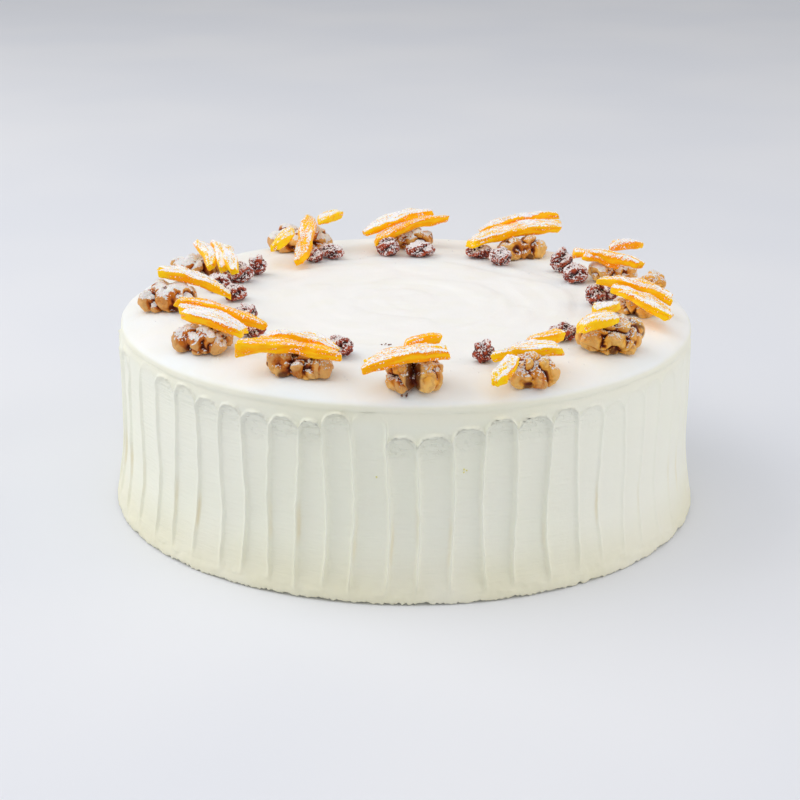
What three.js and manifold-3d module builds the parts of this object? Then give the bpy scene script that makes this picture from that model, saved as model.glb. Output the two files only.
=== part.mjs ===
// Round iced carrot cake with a ring of walnut halves, raisins and candied peel.
// Millimetres, +Z up. The origin is the middle of the flat underside.

import * as THREE from 'three';
import { mergeVertices } from 'three/addons/utils/BufferGeometryUtils.js';
import Module from 'manifold-3d';

const wasm = await Module();
wasm.setup();

// ---------------------------------------------------------------- driving dimensions

// The iced cake: a low drum that spreads a little at its foot.
const topRadius = 130;
const cakeHeight = 90.6;
const footFlare = 4.6;
const flareHeight = 32;
const flareCurve = 1.3;
const rimWidth = 9;
const rimDrop = 7;

// The wall was finished with upright spatula strokes, each a shallow round-topped channel.
const strokeCount = 60;
const strokeDepth = 1.1;
const crestHeight = 0.5;
const crestBand = 1.0;
const floorStart = 0.2;
const floorEnd = 2.1;
const strokeFadeLow = 3;
const strokeFadeHigh = 14;
const ridgeWander = 0.9;
const ridgeWave = 14;

// The strokes on the front, from the left: width along the wall and height of the round top.
const firstRidgeAngle = THREE.MathUtils.degToRad(-159.1);
const frontStrokes = [
  [17.2, 81.5], [16.3, 81.0], [13.8, 79.6], [14.3, 80.0], [13.8, 77.6], [12.0, 77.6], [12.3, 76.5],
  [12.7, 77.0], [11.8, 76.8], [11.3, 80.6], [14.5, 81.5], [12.0, 72.0], [13.8, 72.3], [13.2, 75.3],
  [13.2, 78.6], [15.4, 77.6], [14.5, 78.7], [12.5, 77.0], [14.3, 76.2], [12.7, 78.0], [13.4, 79.0],
];
const hiddenStrokeTop = [74, 81.5];
const hiddenStrokeSpread = 0.16;

// Each wall column has points at these heights, and at these offsets from its stroke's outline.
const wallRows = [0, 4, 11, 30, 54];
const outlineRows = [-3, 0, 1.8];
const rimSteps = 3;
// Where the columns stand across a stroke; the first is on its ridge.
const columnShares = [0, 0.16, 0.5, 0.84];

// Walnuts and raisins lie this far clear of the icing.
const restGap = 0.3;

// Walnut half: two rows of lobes side by side, in tiers, with a cleft between them.
const walnutSize = new THREE.Vector3(27, 21, 12.8);
const walnutTiers = [
  { count: 4, span: 17.5, out: 5.3, up: 1.0, radius: 4.9 },
  { count: 3, span: 11.5, out: 3.5, up: 4.2, radius: 4.1 },
  { count: 3, span: 13.0, out: 7.2, up: -1.9, radius: 3.4 },
];
const walnutPinch = 0.42;
const walnutJitter = 0.9;
const walnutBlend = 0.35;
const walnutCore = 3;
const walnutUnderside = 4.4;
const walnutHollow = 2.6;
const walnutHollowWidth = 3.2;
const walnutDetail = 3;

// x, y, turn, length, width, height and outward lean of each walnut half.
const walnutPlaces = [
  [-99, 39, 10, 26, 17, 8.5, 3],
  [-106, -18, -16, 26, 18, 11.5, 4],
  [-86, -75, -28, 27, 18, 10.5, 7],
  [-44, -106, -10, 31, 17, 8.5, 6],
  [3, -119, 88, 17, 28, 10.5, 14],
  [50.5, -111, 22, 20, 17, 10.5, 6],
  [86, -71, 14, 29, 19, 14.5, 4],
  [103, -18, -30, 21, 16, 7.5, 3],
  [98, 39, 16, 24, 17, 9, 3],
  [57, 78, 12, 26, 18, 10, 2],
  [3, 94, 4, 22, 17, 10.5, 2],
  [-53, 88, -4, 32, 19, 12.5, 2],
  [115, 19, 60, 15, 11, 9.5, 2],
];

// x, y, length, width, height, turn of each raisin.
const raisinPlaces = [
  [-79, 28, 14, 11, 9.5, 20],
  [-71, 41, 9, 8, 10.5, 60],
  [-87, 12, 12, 10, 8.5, -30],
  [-78, -3, 11, 9, 8, 15],
  [-71, -34, 11, 9, 8, 50],
  [-66, -58, 12, 9, 8, -20],
  [-28, -84, 12, 10, 9, 10],
  [32, -91, 10, 8.5, 10.5, 70],
  [67, -60, 13.5, 9, 8, 30],
  [86, -6, 9, 8.5, 11.5, 0],
  [93, 4, 10, 8, 7.5, 40],
  [75, 51, 11, 10, 13, 30],
  [80, 32, 12.5, 10, 9.5, -25],
  [36, 75, 13, 9, 7.5, -10],
  [46, 63, 11, 10, 9.5, 30],
  [-9, 79, 11.5, 10, 9, -15],
  [7, 77, 15, 9, 8, 12],
  [-37, 72, 13, 8.5, 7.5, -22],
  [-45, 65, 9, 8, 7, 40],
];
const raisinFolds = 5;
const raisinFoldDepth = 0.13;
const raisinSag = 0.35;
const raisinTwist = 3;

// Candied peel, in bundles of sticks stuck together side by side: the lift of their middles
// above the iced top, then x, y, heading, rise, length and width of each stick.
const peelThickness = 3.4;
const peelBow = 2;
const peelEndSlant = 1.3;
const peelSegments = 5;
const peelBundles = [
  { lift: 11.3, sticks: [
    [-95.5, 38.9, -71, -10, 27, 5.2],
    [-88.8, 37.4, -77, -9, 30, 5.2],
    [-83.5, 30.2, -75, -10, 26, 5.2],
  ] },
  { lift: 12.0, sticks: [[-96.8, -9.7, -24, -13, 32, 5.2], [-94.4, -17.2, -12, -14, 34, 5.2]] },
  { lift: 13.0, sticks: [[-81.4, -73.4, -19, -11, 31, 5.2], [-80.8, -79.2, -20, -12, 28, 5.2]] },
  { lift: 12.8, sticks: [[-78.2, -66.9, -13, -13, 40, 4.8]] },
  { lift: 10.8, sticks: [[-47.3, -108.7, -13, -1, 44, 6.5]] },
  { lift: 12.0, sticks: [[-44.1, -101.2, -20, -2, 35, 4.2], [-43.5, -97.5, -22, -2, 31, 4.2]] },
  { lift: 13.0, sticks: [[-0.5, -125.7, 7, 9, 34, 5.2], [-0.1, -120.3, 5, 9, 32, 5.2]] },
  { lift: 14.5, sticks: [[6.5, -109.7, 8, 8, 15, 4.8]] },
  { lift: 9.1, sticks: [[48.9, -101.8, 7, 6, 28, 8]] },
  { lift: 7.0, sticks: [[39, -120.5, 54, 26, 15, 6]] },
  { lift: 11.8, sticks: [[56.8, -93.6, 9, 7, 16, 4.8]] },
  { lift: 14.3, sticks: [[79.6, -79.2, 28, 10, 17, 8]] },
  { lift: 15.8, sticks: [[83.7, -64, 52, -4, 16, 6]] },
  { lift: 10.0, sticks: [[102.8, -13.6, -18, -12, 34, 5.4], [106.1, -10.2, -20, -13, 28, 5.4]] },
  { lift: 8.9, sticks: [[103.5, -25.8, -35, -14, 29, 5.4], [105, -33.5, -37, -15, 27, 5.4]] },
  { lift: 12.3, sticks: [[94.4, 32.3, -27, -3, 34, 5.4], [92.4, 33.1, -10, -7, 17, 5]] },
  { lift: 14.7, sticks: [[104.5, 44.4, 40, -3, 21, 5]] },
  { lift: 12.0, sticks: [[54.4, 81.6, 24, 5, 50, 6], [54.7, 87.6, 24, 5, 48, 6]] },
  { lift: 14.0, sticks: [[56.4, 96.3, 28, 5, 45, 5]] },
  { lift: 11.5, sticks: [[2.3, 89.9, 30, 9, 41, 5.2]] },
  { lift: 13.8, sticks: [[-4.3, 93.1, 32, 9, 40, 5.4], [-4.8, 98.3, 29, 11, 32, 5.4]] },
  { lift: 10.4, sticks: [[-50.1, 71.3, 85, 14, 45, 7]] },
  { lift: 12.5, sticks: [[-60, 62.3, 67, 12, 20, 5.2]] },
  { lift: 16.3, sticks: [[-38.8, 88.2, 55, 4, 16, 5.2]] },
];

// ---------------------------------------------------------------- materials

const material = (color, roughness) => (
  new THREE.MeshStandardMaterial({ color, roughness, metalness: 0 })
);
const icing = material(0xf1f0e8, 0.55);
const walnutSkin = material(0xb47a42, 0.6);
const raisinSkin = material(0x4a2426, 0.5);
const candiedPeel = material(0xf5a11c, 0.45);

// ---------------------------------------------------------------- small helpers

const degrees = THREE.MathUtils.degToRad;
const smoothstep = THREE.MathUtils.smoothstep;
const lerp = THREE.MathUtils.lerp;

// The height of the iced top at a distance from the middle, where its edge rolls over.
function topHeight(radius) {
  const past = Math.min(1, Math.max(0, (radius - topRadius + rimWidth) / rimWidth));
  return cakeHeight - rimDrop * (1 - Math.sqrt(1 - past ** 2));
}

// A repeatable number from 0 to 1 for each whole seed.
function random(seed) {
  const wave = Math.sin(seed * 12.9898 + 4.1414) * 43758.5453;
  return wave - Math.floor(wave);
}

const jitter = (seed, reach) => (random(seed) * 2 - 1) * reach;

// A closed unit ball of shared vertices, whose points are then moved out along their directions.
function starSolid(detail, radiusOf) {
  const ball = new THREE.IcosahedronGeometry(1, detail);
  ball.deleteAttribute('normal');
  ball.deleteAttribute('uv');
  const solid = mergeVertices(ball, 1e-4);
  const points = solid.getAttribute('position');
  const direction = new THREE.Vector3();
  for (let i = 0; i < points.count; i += 1) {
    direction.fromBufferAttribute(points, i).normalize();
    direction.multiplyScalar(radiusOf(direction));
    points.setXYZ(i, direction.x, direction.y, direction.z);
  }
  return solid;
}

// Lowers a turned piece until it is just clear of the iced top.
function settle(mesh) {
  mesh.position.z = 0;
  mesh.updateMatrix();
  const points = mesh.geometry.getAttribute('position');
  const point = new THREE.Vector3();
  let lift = -Infinity;
  for (let i = 0; i < points.count; i += 1) {
    point.fromBufferAttribute(points, i).applyMatrix4(mesh.matrix);
    lift = Math.max(lift, topHeight(Math.hypot(point.x, point.y)) - point.z);
  }
  mesh.position.z = lift + restGap;
  mesh.updateMatrix();
}

function named(geometry, finish, name) {
  const mesh = new THREE.Mesh(geometry, finish);
  mesh.name = name;
  return mesh;
}

const numbered = (kind, index) => `${kind}_${String(index + 1).padStart(2, '0')}`;

// ---------------------------------------------------------------- iced cake

// All strokes round the wall, each with its width, its top and the angle of its left ridge.
function layOutStrokes() {
  const front = frontStrokes.map(([width, top]) => ({ width, top }));
  const hidden = Array.from({ length: strokeCount - front.length }, (_, i) => ({
    width: 1 + jitter(i + 1, hiddenStrokeSpread),
    top: lerp(...hiddenStrokeTop, random(i + 101)),
  }));
  const widthOf = (strokes) => strokes.reduce((sum, stroke) => sum + stroke.width, 0);
  const room = 2 * Math.PI * topRadius - widthOf(front);
  const share = room / widthOf(hidden);
  hidden.forEach((stroke) => { stroke.width *= share; });
  const strokes = [...front, ...hidden];
  let angle = firstRidgeAngle;
  strokes.forEach((stroke, i) => {
    stroke.ridge = angle;
    stroke.phase = random(i + 201) * 2 * Math.PI;
    angle += stroke.width / topRadius;
  });
  return strokes;
}

// How far a point lies inside a stroke's round-topped outline; negative outside it.
function insideStroke(stroke, across, z) {
  const half = stroke.width / 2;
  const aboveShoulder = Math.max(0, z - (stroke.top - half));
  return half - Math.hypot(across, aboveShoulder);
}

// A raised crest along each outline and a flat channel inside it, both fading towards the foot.
function strokeRelief(inside, z) {
  const crest = crestHeight * Math.exp(-((inside / crestBand) ** 2));
  const channel = strokeDepth * smoothstep(inside, floorStart, floorEnd);
  return (crest - channel) * smoothstep(z, strokeFadeLow, strokeFadeHigh);
}

function wallRadius(z) {
  return topRadius + footFlare * Math.max(0, 1 - z / flareHeight) ** flareCurve;
}

function ridgeAngle(stroke, z) {
  return stroke.ridge + (ridgeWander / topRadius) * Math.sin(z / ridgeWave + stroke.phase);
}

// The height of a stroke's outline where it crosses a column.
function outlineHeight(stroke, across) {
  const half = stroke.width / 2;
  return stroke.top - half + Math.sqrt(Math.max(0, half ** 2 - across ** 2));
}

// One upright line of points, a share of the way across a stroke, from the foot to the rim.
function wallColumn(strokes, index, share) {
  const stroke = strokes[index];
  const before = strokes[(index + strokeCount - 1) % strokeCount];
  const after = strokes[(index + 1) % strokeCount];
  const fullTurn = index === strokeCount - 1 ? 2 * Math.PI : 0;
  const across = (share - 0.5) * stroke.width;
  const onRidge = share === 0;
  const outline = onRidge
    ? Math.max(outlineHeight(stroke, across), outlineHeight(before, before.width / 2))
    : outlineHeight(stroke, across);
  const rimStart = cakeHeight - rimDrop;
  const heights = [...wallRows, ...outlineRows.map((offset) => outline + offset), rimStart];
  const points = heights.map((z) => {
    const own = insideStroke(stroke, across, z);
    const inside = onRidge ? Math.max(own, insideStroke(before, before.width / 2, z)) : own;
    const angle = lerp(ridgeAngle(stroke, z), ridgeAngle(after, z) + fullTurn, share);
    const radius = wallRadius(z) + strokeRelief(inside, z) * (z < rimStart ? 1 : 0);
    return [radius * Math.cos(angle), radius * Math.sin(angle), z];
  });
  const rimAngle = lerp(stroke.ridge, after.ridge + fullTurn, share);
  for (let step = 1; step <= rimSteps; step += 1) {
    const lift = (step / rimSteps) * Math.PI / 2;
    const radius = topRadius - rimWidth + rimWidth * Math.cos(lift);
    const z = rimStart + rimDrop * Math.sin(lift);
    points.push([radius * Math.cos(rimAngle), radius * Math.sin(rimAngle), z]);
  }
  return points;
}

function icedCake() {
  const strokes = layOutStrokes();
  const columns = strokes.flatMap((_, index) => (
    columnShares.map((share) => wallColumn(strokes, index, share))
  ));
  const rows = columns[0].length;
  const positions = columns.flat(2);
  const faces = [];
  const undersideMiddle = columns.length * rows;
  const topMiddle = undersideMiddle + 1;
  positions.push(0, 0, 0, 0, 0, cakeHeight);
  for (let column = 0; column < columns.length; column += 1) {
    const here = column * rows;
    const next = ((column + 1) % columns.length) * rows;
    for (let row = 0; row < rows - 1; row += 1) {
      faces.push(here + row, next + row, next + row + 1);
      faces.push(here + row, next + row + 1, here + row + 1);
    }
    faces.push(undersideMiddle, next, here);
    faces.push(topMiddle, here + rows - 1, next + rows - 1);
  }
  const geometry = new THREE.BufferGeometry();
  geometry.setAttribute('position', new THREE.Float32BufferAttribute(positions, 3));
  geometry.setIndex(faces);
  return named(geometry, icing, 'iced_cake');
}

// ---------------------------------------------------------------- walnut halves

// The balls whose blended surface makes one walnut half, each a bit out of its place.
function walnutLobes(seed, stretch) {
  const swell = Math.cbrt(stretch.x * stretch.y * stretch.z);
  const lobes = [];
  for (const side of [-1, 1]) {
    for (const tier of walnutTiers) {
      for (let i = 0; i < tier.count; i += 1) {
        const key = seed * 100 + lobes.length * 4;
        const along = (i / (tier.count - 1) - 0.5) * tier.span;
        const pinch = 1 - walnutPinch * (2 * along / walnutTiers[0].span) ** 2;
        const centre = new THREE.Vector3(
          along + jitter(key + 1, walnutJitter),
          side * tier.out * pinch + jitter(key + 2, walnutJitter * 0.5),
          tier.up + jitter(key + 3, walnutJitter * 0.6),
        ).multiply(stretch);
        lobes.push({ centre, radius: swell * tier.radius * (1 + jitter(key + 4, 0.1)) });
      }
    }
  }
  return lobes;
}

// How far the walnut reaches in a direction: the furthest lobe, blended with its neighbours.
function walnutReach(lobes, stretch, direction) {
  let sum = Math.exp(walnutCore * stretch.z / walnutBlend);
  for (const { centre, radius } of lobes) {
    const toward = centre.dot(direction);
    const spare = toward ** 2 - centre.lengthSq() + radius ** 2;
    if (spare > 0) {
      sum += Math.exp((toward + Math.sqrt(spare)) / walnutBlend);
    }
  }
  const reach = walnutBlend * Math.log(sum);
  if (direction.z >= 0) {
    return reach;
  }
  const sideways = direction.y * reach / walnutHollowWidth / stretch.y;
  const floor = stretch.z * (walnutUnderside - walnutHollow * Math.exp(-(sideways ** 2)));
  return Math.min(reach, floor / -direction.z);
}

function walnutHalf([x, y, turn, length, width, height, lean], index) {
  const stretch = new THREE.Vector3(length, width, height).divide(walnutSize);
  const lobes = walnutLobes(index + 1, stretch);
  const geometry = starSolid(walnutDetail, (direction) => walnutReach(lobes, stretch, direction));
  const mesh = named(geometry, walnutSkin, numbered('walnut', index));
  mesh.rotation.z = degrees(turn);
  mesh.rotateOnWorldAxis(new THREE.Vector3(-y, x, 0).normalize(), degrees(lean));
  mesh.position.set(x, y, 0);
  settle(mesh);
  return mesh;
}

// ---------------------------------------------------------------- raisins

function raisin([x, y, length, width, height, turn], index) {
  const phase = random(index + 401) * 2 * Math.PI;
  const half = new THREE.Vector3(length / 2, width / 2, height / 2);
  const geometry = starSolid(1, (direction) => {
    const reach = 1 / direction.clone().divide(half).length();
    const angle = Math.atan2(direction.z, direction.y);
    const fold = Math.cos(angle * raisinFolds + phase + direction.x * raisinTwist);
    const sag = direction.z < 0 ? raisinSag * direction.z ** 2 : 0;
    return reach * (1 + raisinFoldDepth * fold * (1 - direction.x ** 2)) * (1 - sag);
  });
  const mesh = named(geometry, raisinSkin, numbered('raisin', index));
  mesh.rotation.z = degrees(turn);
  mesh.position.set(x, y, 0);
  settle(mesh);
  return mesh;
}

// ---------------------------------------------------------------- candied peel

const bowAt = (along, length) => peelBow * (1 - (2 * along / length) ** 2);

// A straight-sided stick, slightly arched, with its ends cut at a slant.
function peelStick([x, y, heading, rise, length, width], seed, height) {
  const geometry = new THREE.BoxGeometry(length, width, peelThickness, peelSegments, 1, 1);
  const slant = jitter(seed, peelEndSlant);
  const points = geometry.getAttribute('position');
  for (let i = 0; i < points.count; i += 1) {
    const along = points.getX(i);
    const endward = (2 * along / length) ** 3;
    points.setX(i, along + slant * endward * points.getY(i) * 2 / width);
    points.setZ(i, points.getZ(i) + bowAt(along, length));
  }
  geometry.deleteAttribute('normal');
  geometry.deleteAttribute('uv');
  geometry.rotateY(-degrees(rise));
  geometry.rotateZ(degrees(heading));
  geometry.translate(x, y, height);
  return mergeVertices(geometry, 1e-4);
}

function toManifold(geometry) {
  const vertProperties = Float32Array.from(geometry.getAttribute('position').array);
  const triVerts = Uint32Array.from(geometry.getIndex().array);
  return new wasm.Manifold(new wasm.Mesh({ numProp: 3, vertProperties, triVerts }));
}

function fromManifold(solid) {
  const { vertProperties, triVerts } = solid.getMesh();
  const geometry = new THREE.BufferGeometry();
  geometry.setAttribute('position', new THREE.Float32BufferAttribute(vertProperties, 3));
  geometry.setIndex(new THREE.Uint32BufferAttribute(triVerts, 1));
  return geometry;
}

// The sticks of one bundle are joined where they touch.
function peelBundle({ lift, sticks }, index) {
  const height = cakeHeight + lift;
  const solids = sticks.map((stick, i) => toManifold(peelStick(stick, index * 10 + i + 501, height)));
  const joined = solids.reduce((bundle, solid) => bundle.add(solid));
  return named(fromManifold(joined), candiedPeel, numbered('peel', index));
}

// ---------------------------------------------------------------- assembly

const cake = new THREE.Group();
cake.add(icedCake());

walnutPlaces.forEach((place, index) => cake.add(walnutHalf(place, index)));
raisinPlaces.forEach((place, index) => cake.add(raisin(place, index)));
peelBundles.forEach((bundle, index) => cake.add(peelBundle(bundle, index)));

export default cake;
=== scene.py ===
"""Round iced carrot cake with a ring of walnut halves, raisins and sugared candied peel."""

import math

import bmesh
import bpy
import numpy as np
from mathutils import Matrix, Vector


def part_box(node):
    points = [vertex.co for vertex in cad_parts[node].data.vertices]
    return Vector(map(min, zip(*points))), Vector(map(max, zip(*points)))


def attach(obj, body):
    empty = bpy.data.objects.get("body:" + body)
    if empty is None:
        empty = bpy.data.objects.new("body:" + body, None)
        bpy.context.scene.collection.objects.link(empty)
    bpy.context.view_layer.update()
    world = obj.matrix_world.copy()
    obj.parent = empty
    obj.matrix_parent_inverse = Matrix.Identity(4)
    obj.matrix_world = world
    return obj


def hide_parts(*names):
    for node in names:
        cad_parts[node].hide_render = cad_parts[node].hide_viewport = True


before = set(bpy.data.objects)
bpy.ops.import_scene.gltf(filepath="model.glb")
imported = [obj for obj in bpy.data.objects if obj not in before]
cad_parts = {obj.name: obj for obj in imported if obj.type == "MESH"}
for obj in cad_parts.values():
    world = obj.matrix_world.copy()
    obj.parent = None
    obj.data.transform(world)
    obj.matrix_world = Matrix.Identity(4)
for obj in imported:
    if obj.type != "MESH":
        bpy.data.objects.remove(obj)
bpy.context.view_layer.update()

# Lengths in the tables below are millimetres; Blender's are metres.
MM = 0.001

# ---------------------------------------------------------------- sizes of the cake

TOP_RADIUS = 130
CAKE_HEIGHT = 90.6
FOOT_FLARE, FLARE_HEIGHT, FLARE_CURVE = 4.6, 32, 1.3
RIM_WIDTH = 18

STROKE_COUNT = 60
# Depth of a stroke at its sides, and how much deeper it is in the middle.
STROKE_DEPTH, STROKE_HOLLOW = 0.45, 0.32
CREST_HEIGHT, CREST_BAND = 0.75, 0.8
FLOOR_START, FLOOR_END = 0.15, 1.35
STROKE_FADE_LOW, STROKE_FADE_HIGH = 3, 12
RIDGE_WANDER, RIDGE_WAVE = 0.9, 14
FIRST_RIDGE_ANGLE = math.radians(-159.1)
# Width along the wall and height of the round top of each stroke on the front, from the left.
FRONT_STROKES = [
    (17.2, 81.5), (16.3, 81.0), (13.8, 79.6), (14.3, 80.0), (13.8, 77.6), (12.0, 77.6),
    (12.3, 76.5), (12.7, 77.0), (11.8, 76.8), (11.3, 80.6), (14.5, 81.5), (12.0, 72.0),
    (13.8, 72.3), (13.2, 75.3), (13.2, 78.6), (15.4, 77.6), (14.5, 78.7), (12.5, 77.0),
    (14.3, 76.2), (12.7, 78.0), (13.4, 79.0),
]
HIDDEN_STROKE_TOP = (74, 81.5)
HIDDEN_STROKE_SPREAD = 0.16
# How strongly the strokes are marked at angles round the wall in degrees.
STROKE_STRENGTH = [(-160, 0.8), (-128, 0.9), (-108, 1.6), (-85, 1.7), (-68, 1.8), (-54, 0.5),
                   (-44, 0.3), (-10, 0.3), (30, 0.7), (200, 0.8)]

# ---------------------------------------------------------------- sizes of the toppings

WALNUT_SIZE = np.array([27, 21, 12.8])
# count, span, out, up and radius of each tier of lobes.
WALNUT_TIERS = [(3, 16.5, 5.2, 0.3, 5.7), (2, 8.5, 3.3, 3.5, 5.0), (2, 10.0, 7.0, -2.4, 3.9)]
WALNUT_PINCH = 0.42
WALNUT_JITTER = 1.4
WALNUT_CORE = 3
WALNUT_UNDERSIDE, WALNUT_HOLLOW, WALNUT_HOLLOW_WIDTH = 4.4, 2.6, 3.2
# x, y, turn, length, width, height, outward lean, share of sugar, depth of the middle cleft and
# place along the nut of the dark hollow at its foot.
WALNUTS = [
    (-99, 39, 10, 26, 17, 8.5, 3, 0.8, 0.9, 3), (-106, -18, -16, 26, 18, 11.5, 4, 0.7, 0.9, 5),
    (-86, -75, -28, 27, 18, 10.5, 7, 0.65, 1.4, -3), (-44, -106, -10, 31, 17, 8.5, 6, 0.5, 1.0, -6),
    (3, -119, 88, 17, 28, 10.5, 14, 0.5, 3.4, 0), (50.5, -111, 22, 20, 17, 10.5, 6, 0.45, 1.0, -5),
    (86, -71, 14, 29, 19, 14.5, 4, 0.4, 0.8, -1), (103, -18, -30, 21, 16, 7.5, 3, 0.5, 0.9, 3),
    (98, 39, 16, 24, 17, 9, 3, 0.75, 0.9, -2), (57, 78, 12, 26, 18, 10, 2, 0.4, 1.0, 4),
    (3, 94, 4, 22, 17, 10.5, 2, 0.7, 0.9, -2), (-53, 88, -4, 32, 19, 12.5, 2, 0.65, 0.9, 5),
    (115, 19, 60, 15, 11, 9.5, 2, 0.5, 0.5, 0),
]
# x, y, length, width, height and turn of each raisin.
RAISINS = [
    (-79, 28, 14, 11, 9.5, 20), (-71, 41, 9, 8, 10.5, 60), (-87, 12, 12, 10, 8.5, -30),
    (-78, -3, 11, 9, 8, 15), (-71, -34, 11, 9, 8, 50), (-66, -58, 12, 9, 8, -20),
    (-28, -84, 12, 10, 9, 10), (32, -91, 10, 8.5, 10.5, 70), (67, -60, 13.5, 9, 8, 30),
    (86, -6, 9, 8.5, 11.5, 0), (93, 4, 10, 8, 7.5, 40), (75, 51, 11, 10, 13, 30),
    (80, 32, 12.5, 10, 9.5, -25), (36, 75, 13, 9, 7.5, -10), (46, 63, 11, 10, 9.5, 30),
    (-9, 79, 11.5, 10, 9, -15), (7, 77, 15, 9, 8, 12), (-37, 72, 13, 8.5, 7.5, -22),
    (-45, 65, 9, 8, 7, 40),
]
RAISIN_FOLDS, RAISIN_FOLD_DEPTH, RAISIN_SAG, RAISIN_TWIST = 5, 0.13, 0.35, 3
RAISIN_WRINKLE_DEPTH, RAISIN_CREASE_DEPTH = 0.75, 0.2

PEEL_THICKNESS, PEEL_BOW, PEEL_END_SLANT = 3.4, 2, 1.3
# Lift of each bundle above the top, share of sugar, how yellow it is, and its sticks as x, y,
# heading, rise, length and width.
PEELS = [
    (11.3, 0.75, 0.45, [(-95.5, 38.9, -71, -10, 27, 5.2), (-88.8, 37.4, -77, -9, 30, 5.2),
                        (-83.5, 30.2, -75, -10, 26, 5.2)]),
    (12.0, 0.8, 0.3, [(-96.8, -9.7, -24, -13, 32, 5.2), (-94.4, -17.2, -12, -14, 34, 5.2)]),
    (13.0, 0.85, 0.3, [(-81.4, -73.4, -19, -11, 31, 5.2), (-80.8, -79.2, -20, -12, 28, 5.2)]),
    (12.8, 0.35, 0.2, [(-78.2, -66.9, -13, -13, 40, 4.8)]),
    (10.8, 0.3, 0.3, [(-47.3, -108.7, -13, -1, 44, 6.5)]),
    (12.0, 0.7, 0.5, [(-44.1, -101.2, -20, -2, 35, 4.2), (-43.5, -97.5, -22, -2, 31, 4.2)]),
    (13.0, 0.65, 0.15, [(-0.5, -125.7, 7, 9, 34, 5.2), (-0.1, -120.3, 5, 9, 32, 5.2)]),
    (14.5, 0.3, 0.1, [(6.5, -109.7, 8, 8, 15, 4.8)]),
    (9.1, 0.75, 0.6, [(48.9, -101.8, 7, 6, 28, 8)]),
    (7.0, 0.75, 0.8, [(39, -120.5, 54, 26, 15, 6)]),
    (11.8, 0.5, 0.4, [(56.8, -93.6, 9, 7, 16, 4.8)]),
    (14.3, 0.6, 0.6, [(79.6, -79.2, 28, 10, 17, 8)]),
    (15.8, 0.7, 0.6, [(83.7, -64, 52, -4, 16, 6)]),
    (10.0, 0.55, 0.3, [(102.8, -13.6, -18, -12, 34, 5.4), (106.1, -10.2, -20, -13, 28, 5.4)]),
    (8.9, 0.6, 0.35, [(103.5, -25.8, -35, -14, 29, 5.4), (105, -33.5, -37, -15, 27, 5.4)]),
    (12.3, 0.6, 0.1, [(94.4, 32.3, -27, -3, 34, 5.4), (92.4, 33.1, -10, -7, 17, 5)]),
    (14.7, 0.8, 0.2, [(104.5, 44.4, 40, -3, 21, 5)]),
    (12.0, 0.6, 0.25, [(54.4, 81.6, 24, 5, 50, 6), (54.7, 87.6, 24, 5, 48, 6)]),
    (14.0, 0.75, 0.2, [(56.4, 96.3, 28, 5, 45, 5)]),
    (11.5, 0.35, 0.2, [(2.3, 89.9, 30, 9, 41, 5.2)]),
    (13.8, 0.85, 0.4, [(-4.3, 93.1, 32, 9, 40, 5.4), (-4.8, 98.3, 29, 11, 32, 5.4)]),
    (10.4, 0.45, 0.3, [(-50.1, 71.3, 85, 14, 45, 7)]),
    (12.5, 0.4, 0.8, [(-60, 62.3, 67, 12, 20, 5.2)]),
    (16.3, 0.6, 0.8, [(-38.8, 88.2, 55, 4, 16, 5.2)]),
]

# ---------------------------------------------------------------- repeatable randomness


def random_of(seed):
    """A repeatable number from 0 to 1 for each whole seed, the same as in the solid model."""
    wave = math.sin(seed * 12.9898 + 4.1414) * 43758.5453
    return wave - math.floor(wave)


def jitter(seed, reach):
    """A repeatable number from minus to plus a reach."""
    return (random_of(seed) * 2 - 1) * reach


def hashed(x, y, z, seed):
    """Evenly spread numbers from -1 to 1 for whole lattice points."""
    with np.errstate(over="ignore"):
        h = (x.astype(np.uint32) * np.uint32(374761393) + y.astype(np.uint32) * np.uint32(668265263)
             + z.astype(np.uint32) * np.uint32(2246822519) + np.uint32(seed * 3266489917 % 2**32))
        h = (h ^ (h >> np.uint32(13))) * np.uint32(1274126177)
        h = (h ^ (h >> np.uint32(16))) * np.uint32(2654435761)
    return (h >> np.uint32(8)).astype(float) / 2**23 - 1


def noise(points, seed=0):
    """Smooth gradient noise, about -1 to 1, at an array of 3-D points."""
    cell = np.floor(points)
    part = points - cell
    cell = cell.astype(np.int64)
    ease = part**3 * (part * (part * 6 - 15) + 10)
    total = np.zeros(len(points))
    for corner in np.ndindex(2, 2, 2):
        place = cell + corner
        offset = part - corner
        weight = np.prod(np.where(corner, ease, 1 - ease), axis=1)
        slope = np.stack([hashed(*place.T, seed * 3 + axis) for axis in range(3)], axis=1)
        total += weight * (slope * offset).sum(axis=1)
    return total * 1.4


def warped(points, amount, seed):
    """Points pushed about by three fields of noise."""
    push = np.stack([noise(points, seed + 100 * k) for k in (1, 2, 3)], 1)
    return points + amount * push


def smoothstep(x, low, high):
    """An eased rise from 0 at one value to 1 at another."""
    t = np.clip((x - low) / (high - low), 0, 1)
    return t * t * (3 - 2 * t)


def turn_about(axis, degrees):
    """The matrix of a turn about an axis."""
    return np.array(Matrix.Rotation(math.radians(degrees), 3, axis))


def on_circle(angle, radius, z):
    """Points at angles round the upright middle line of the cake."""
    return np.stack([radius * np.cos(angle), radius * np.sin(angle), z + 0 * angle], 1)


# ---------------------------------------------------------------- meshes


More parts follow.
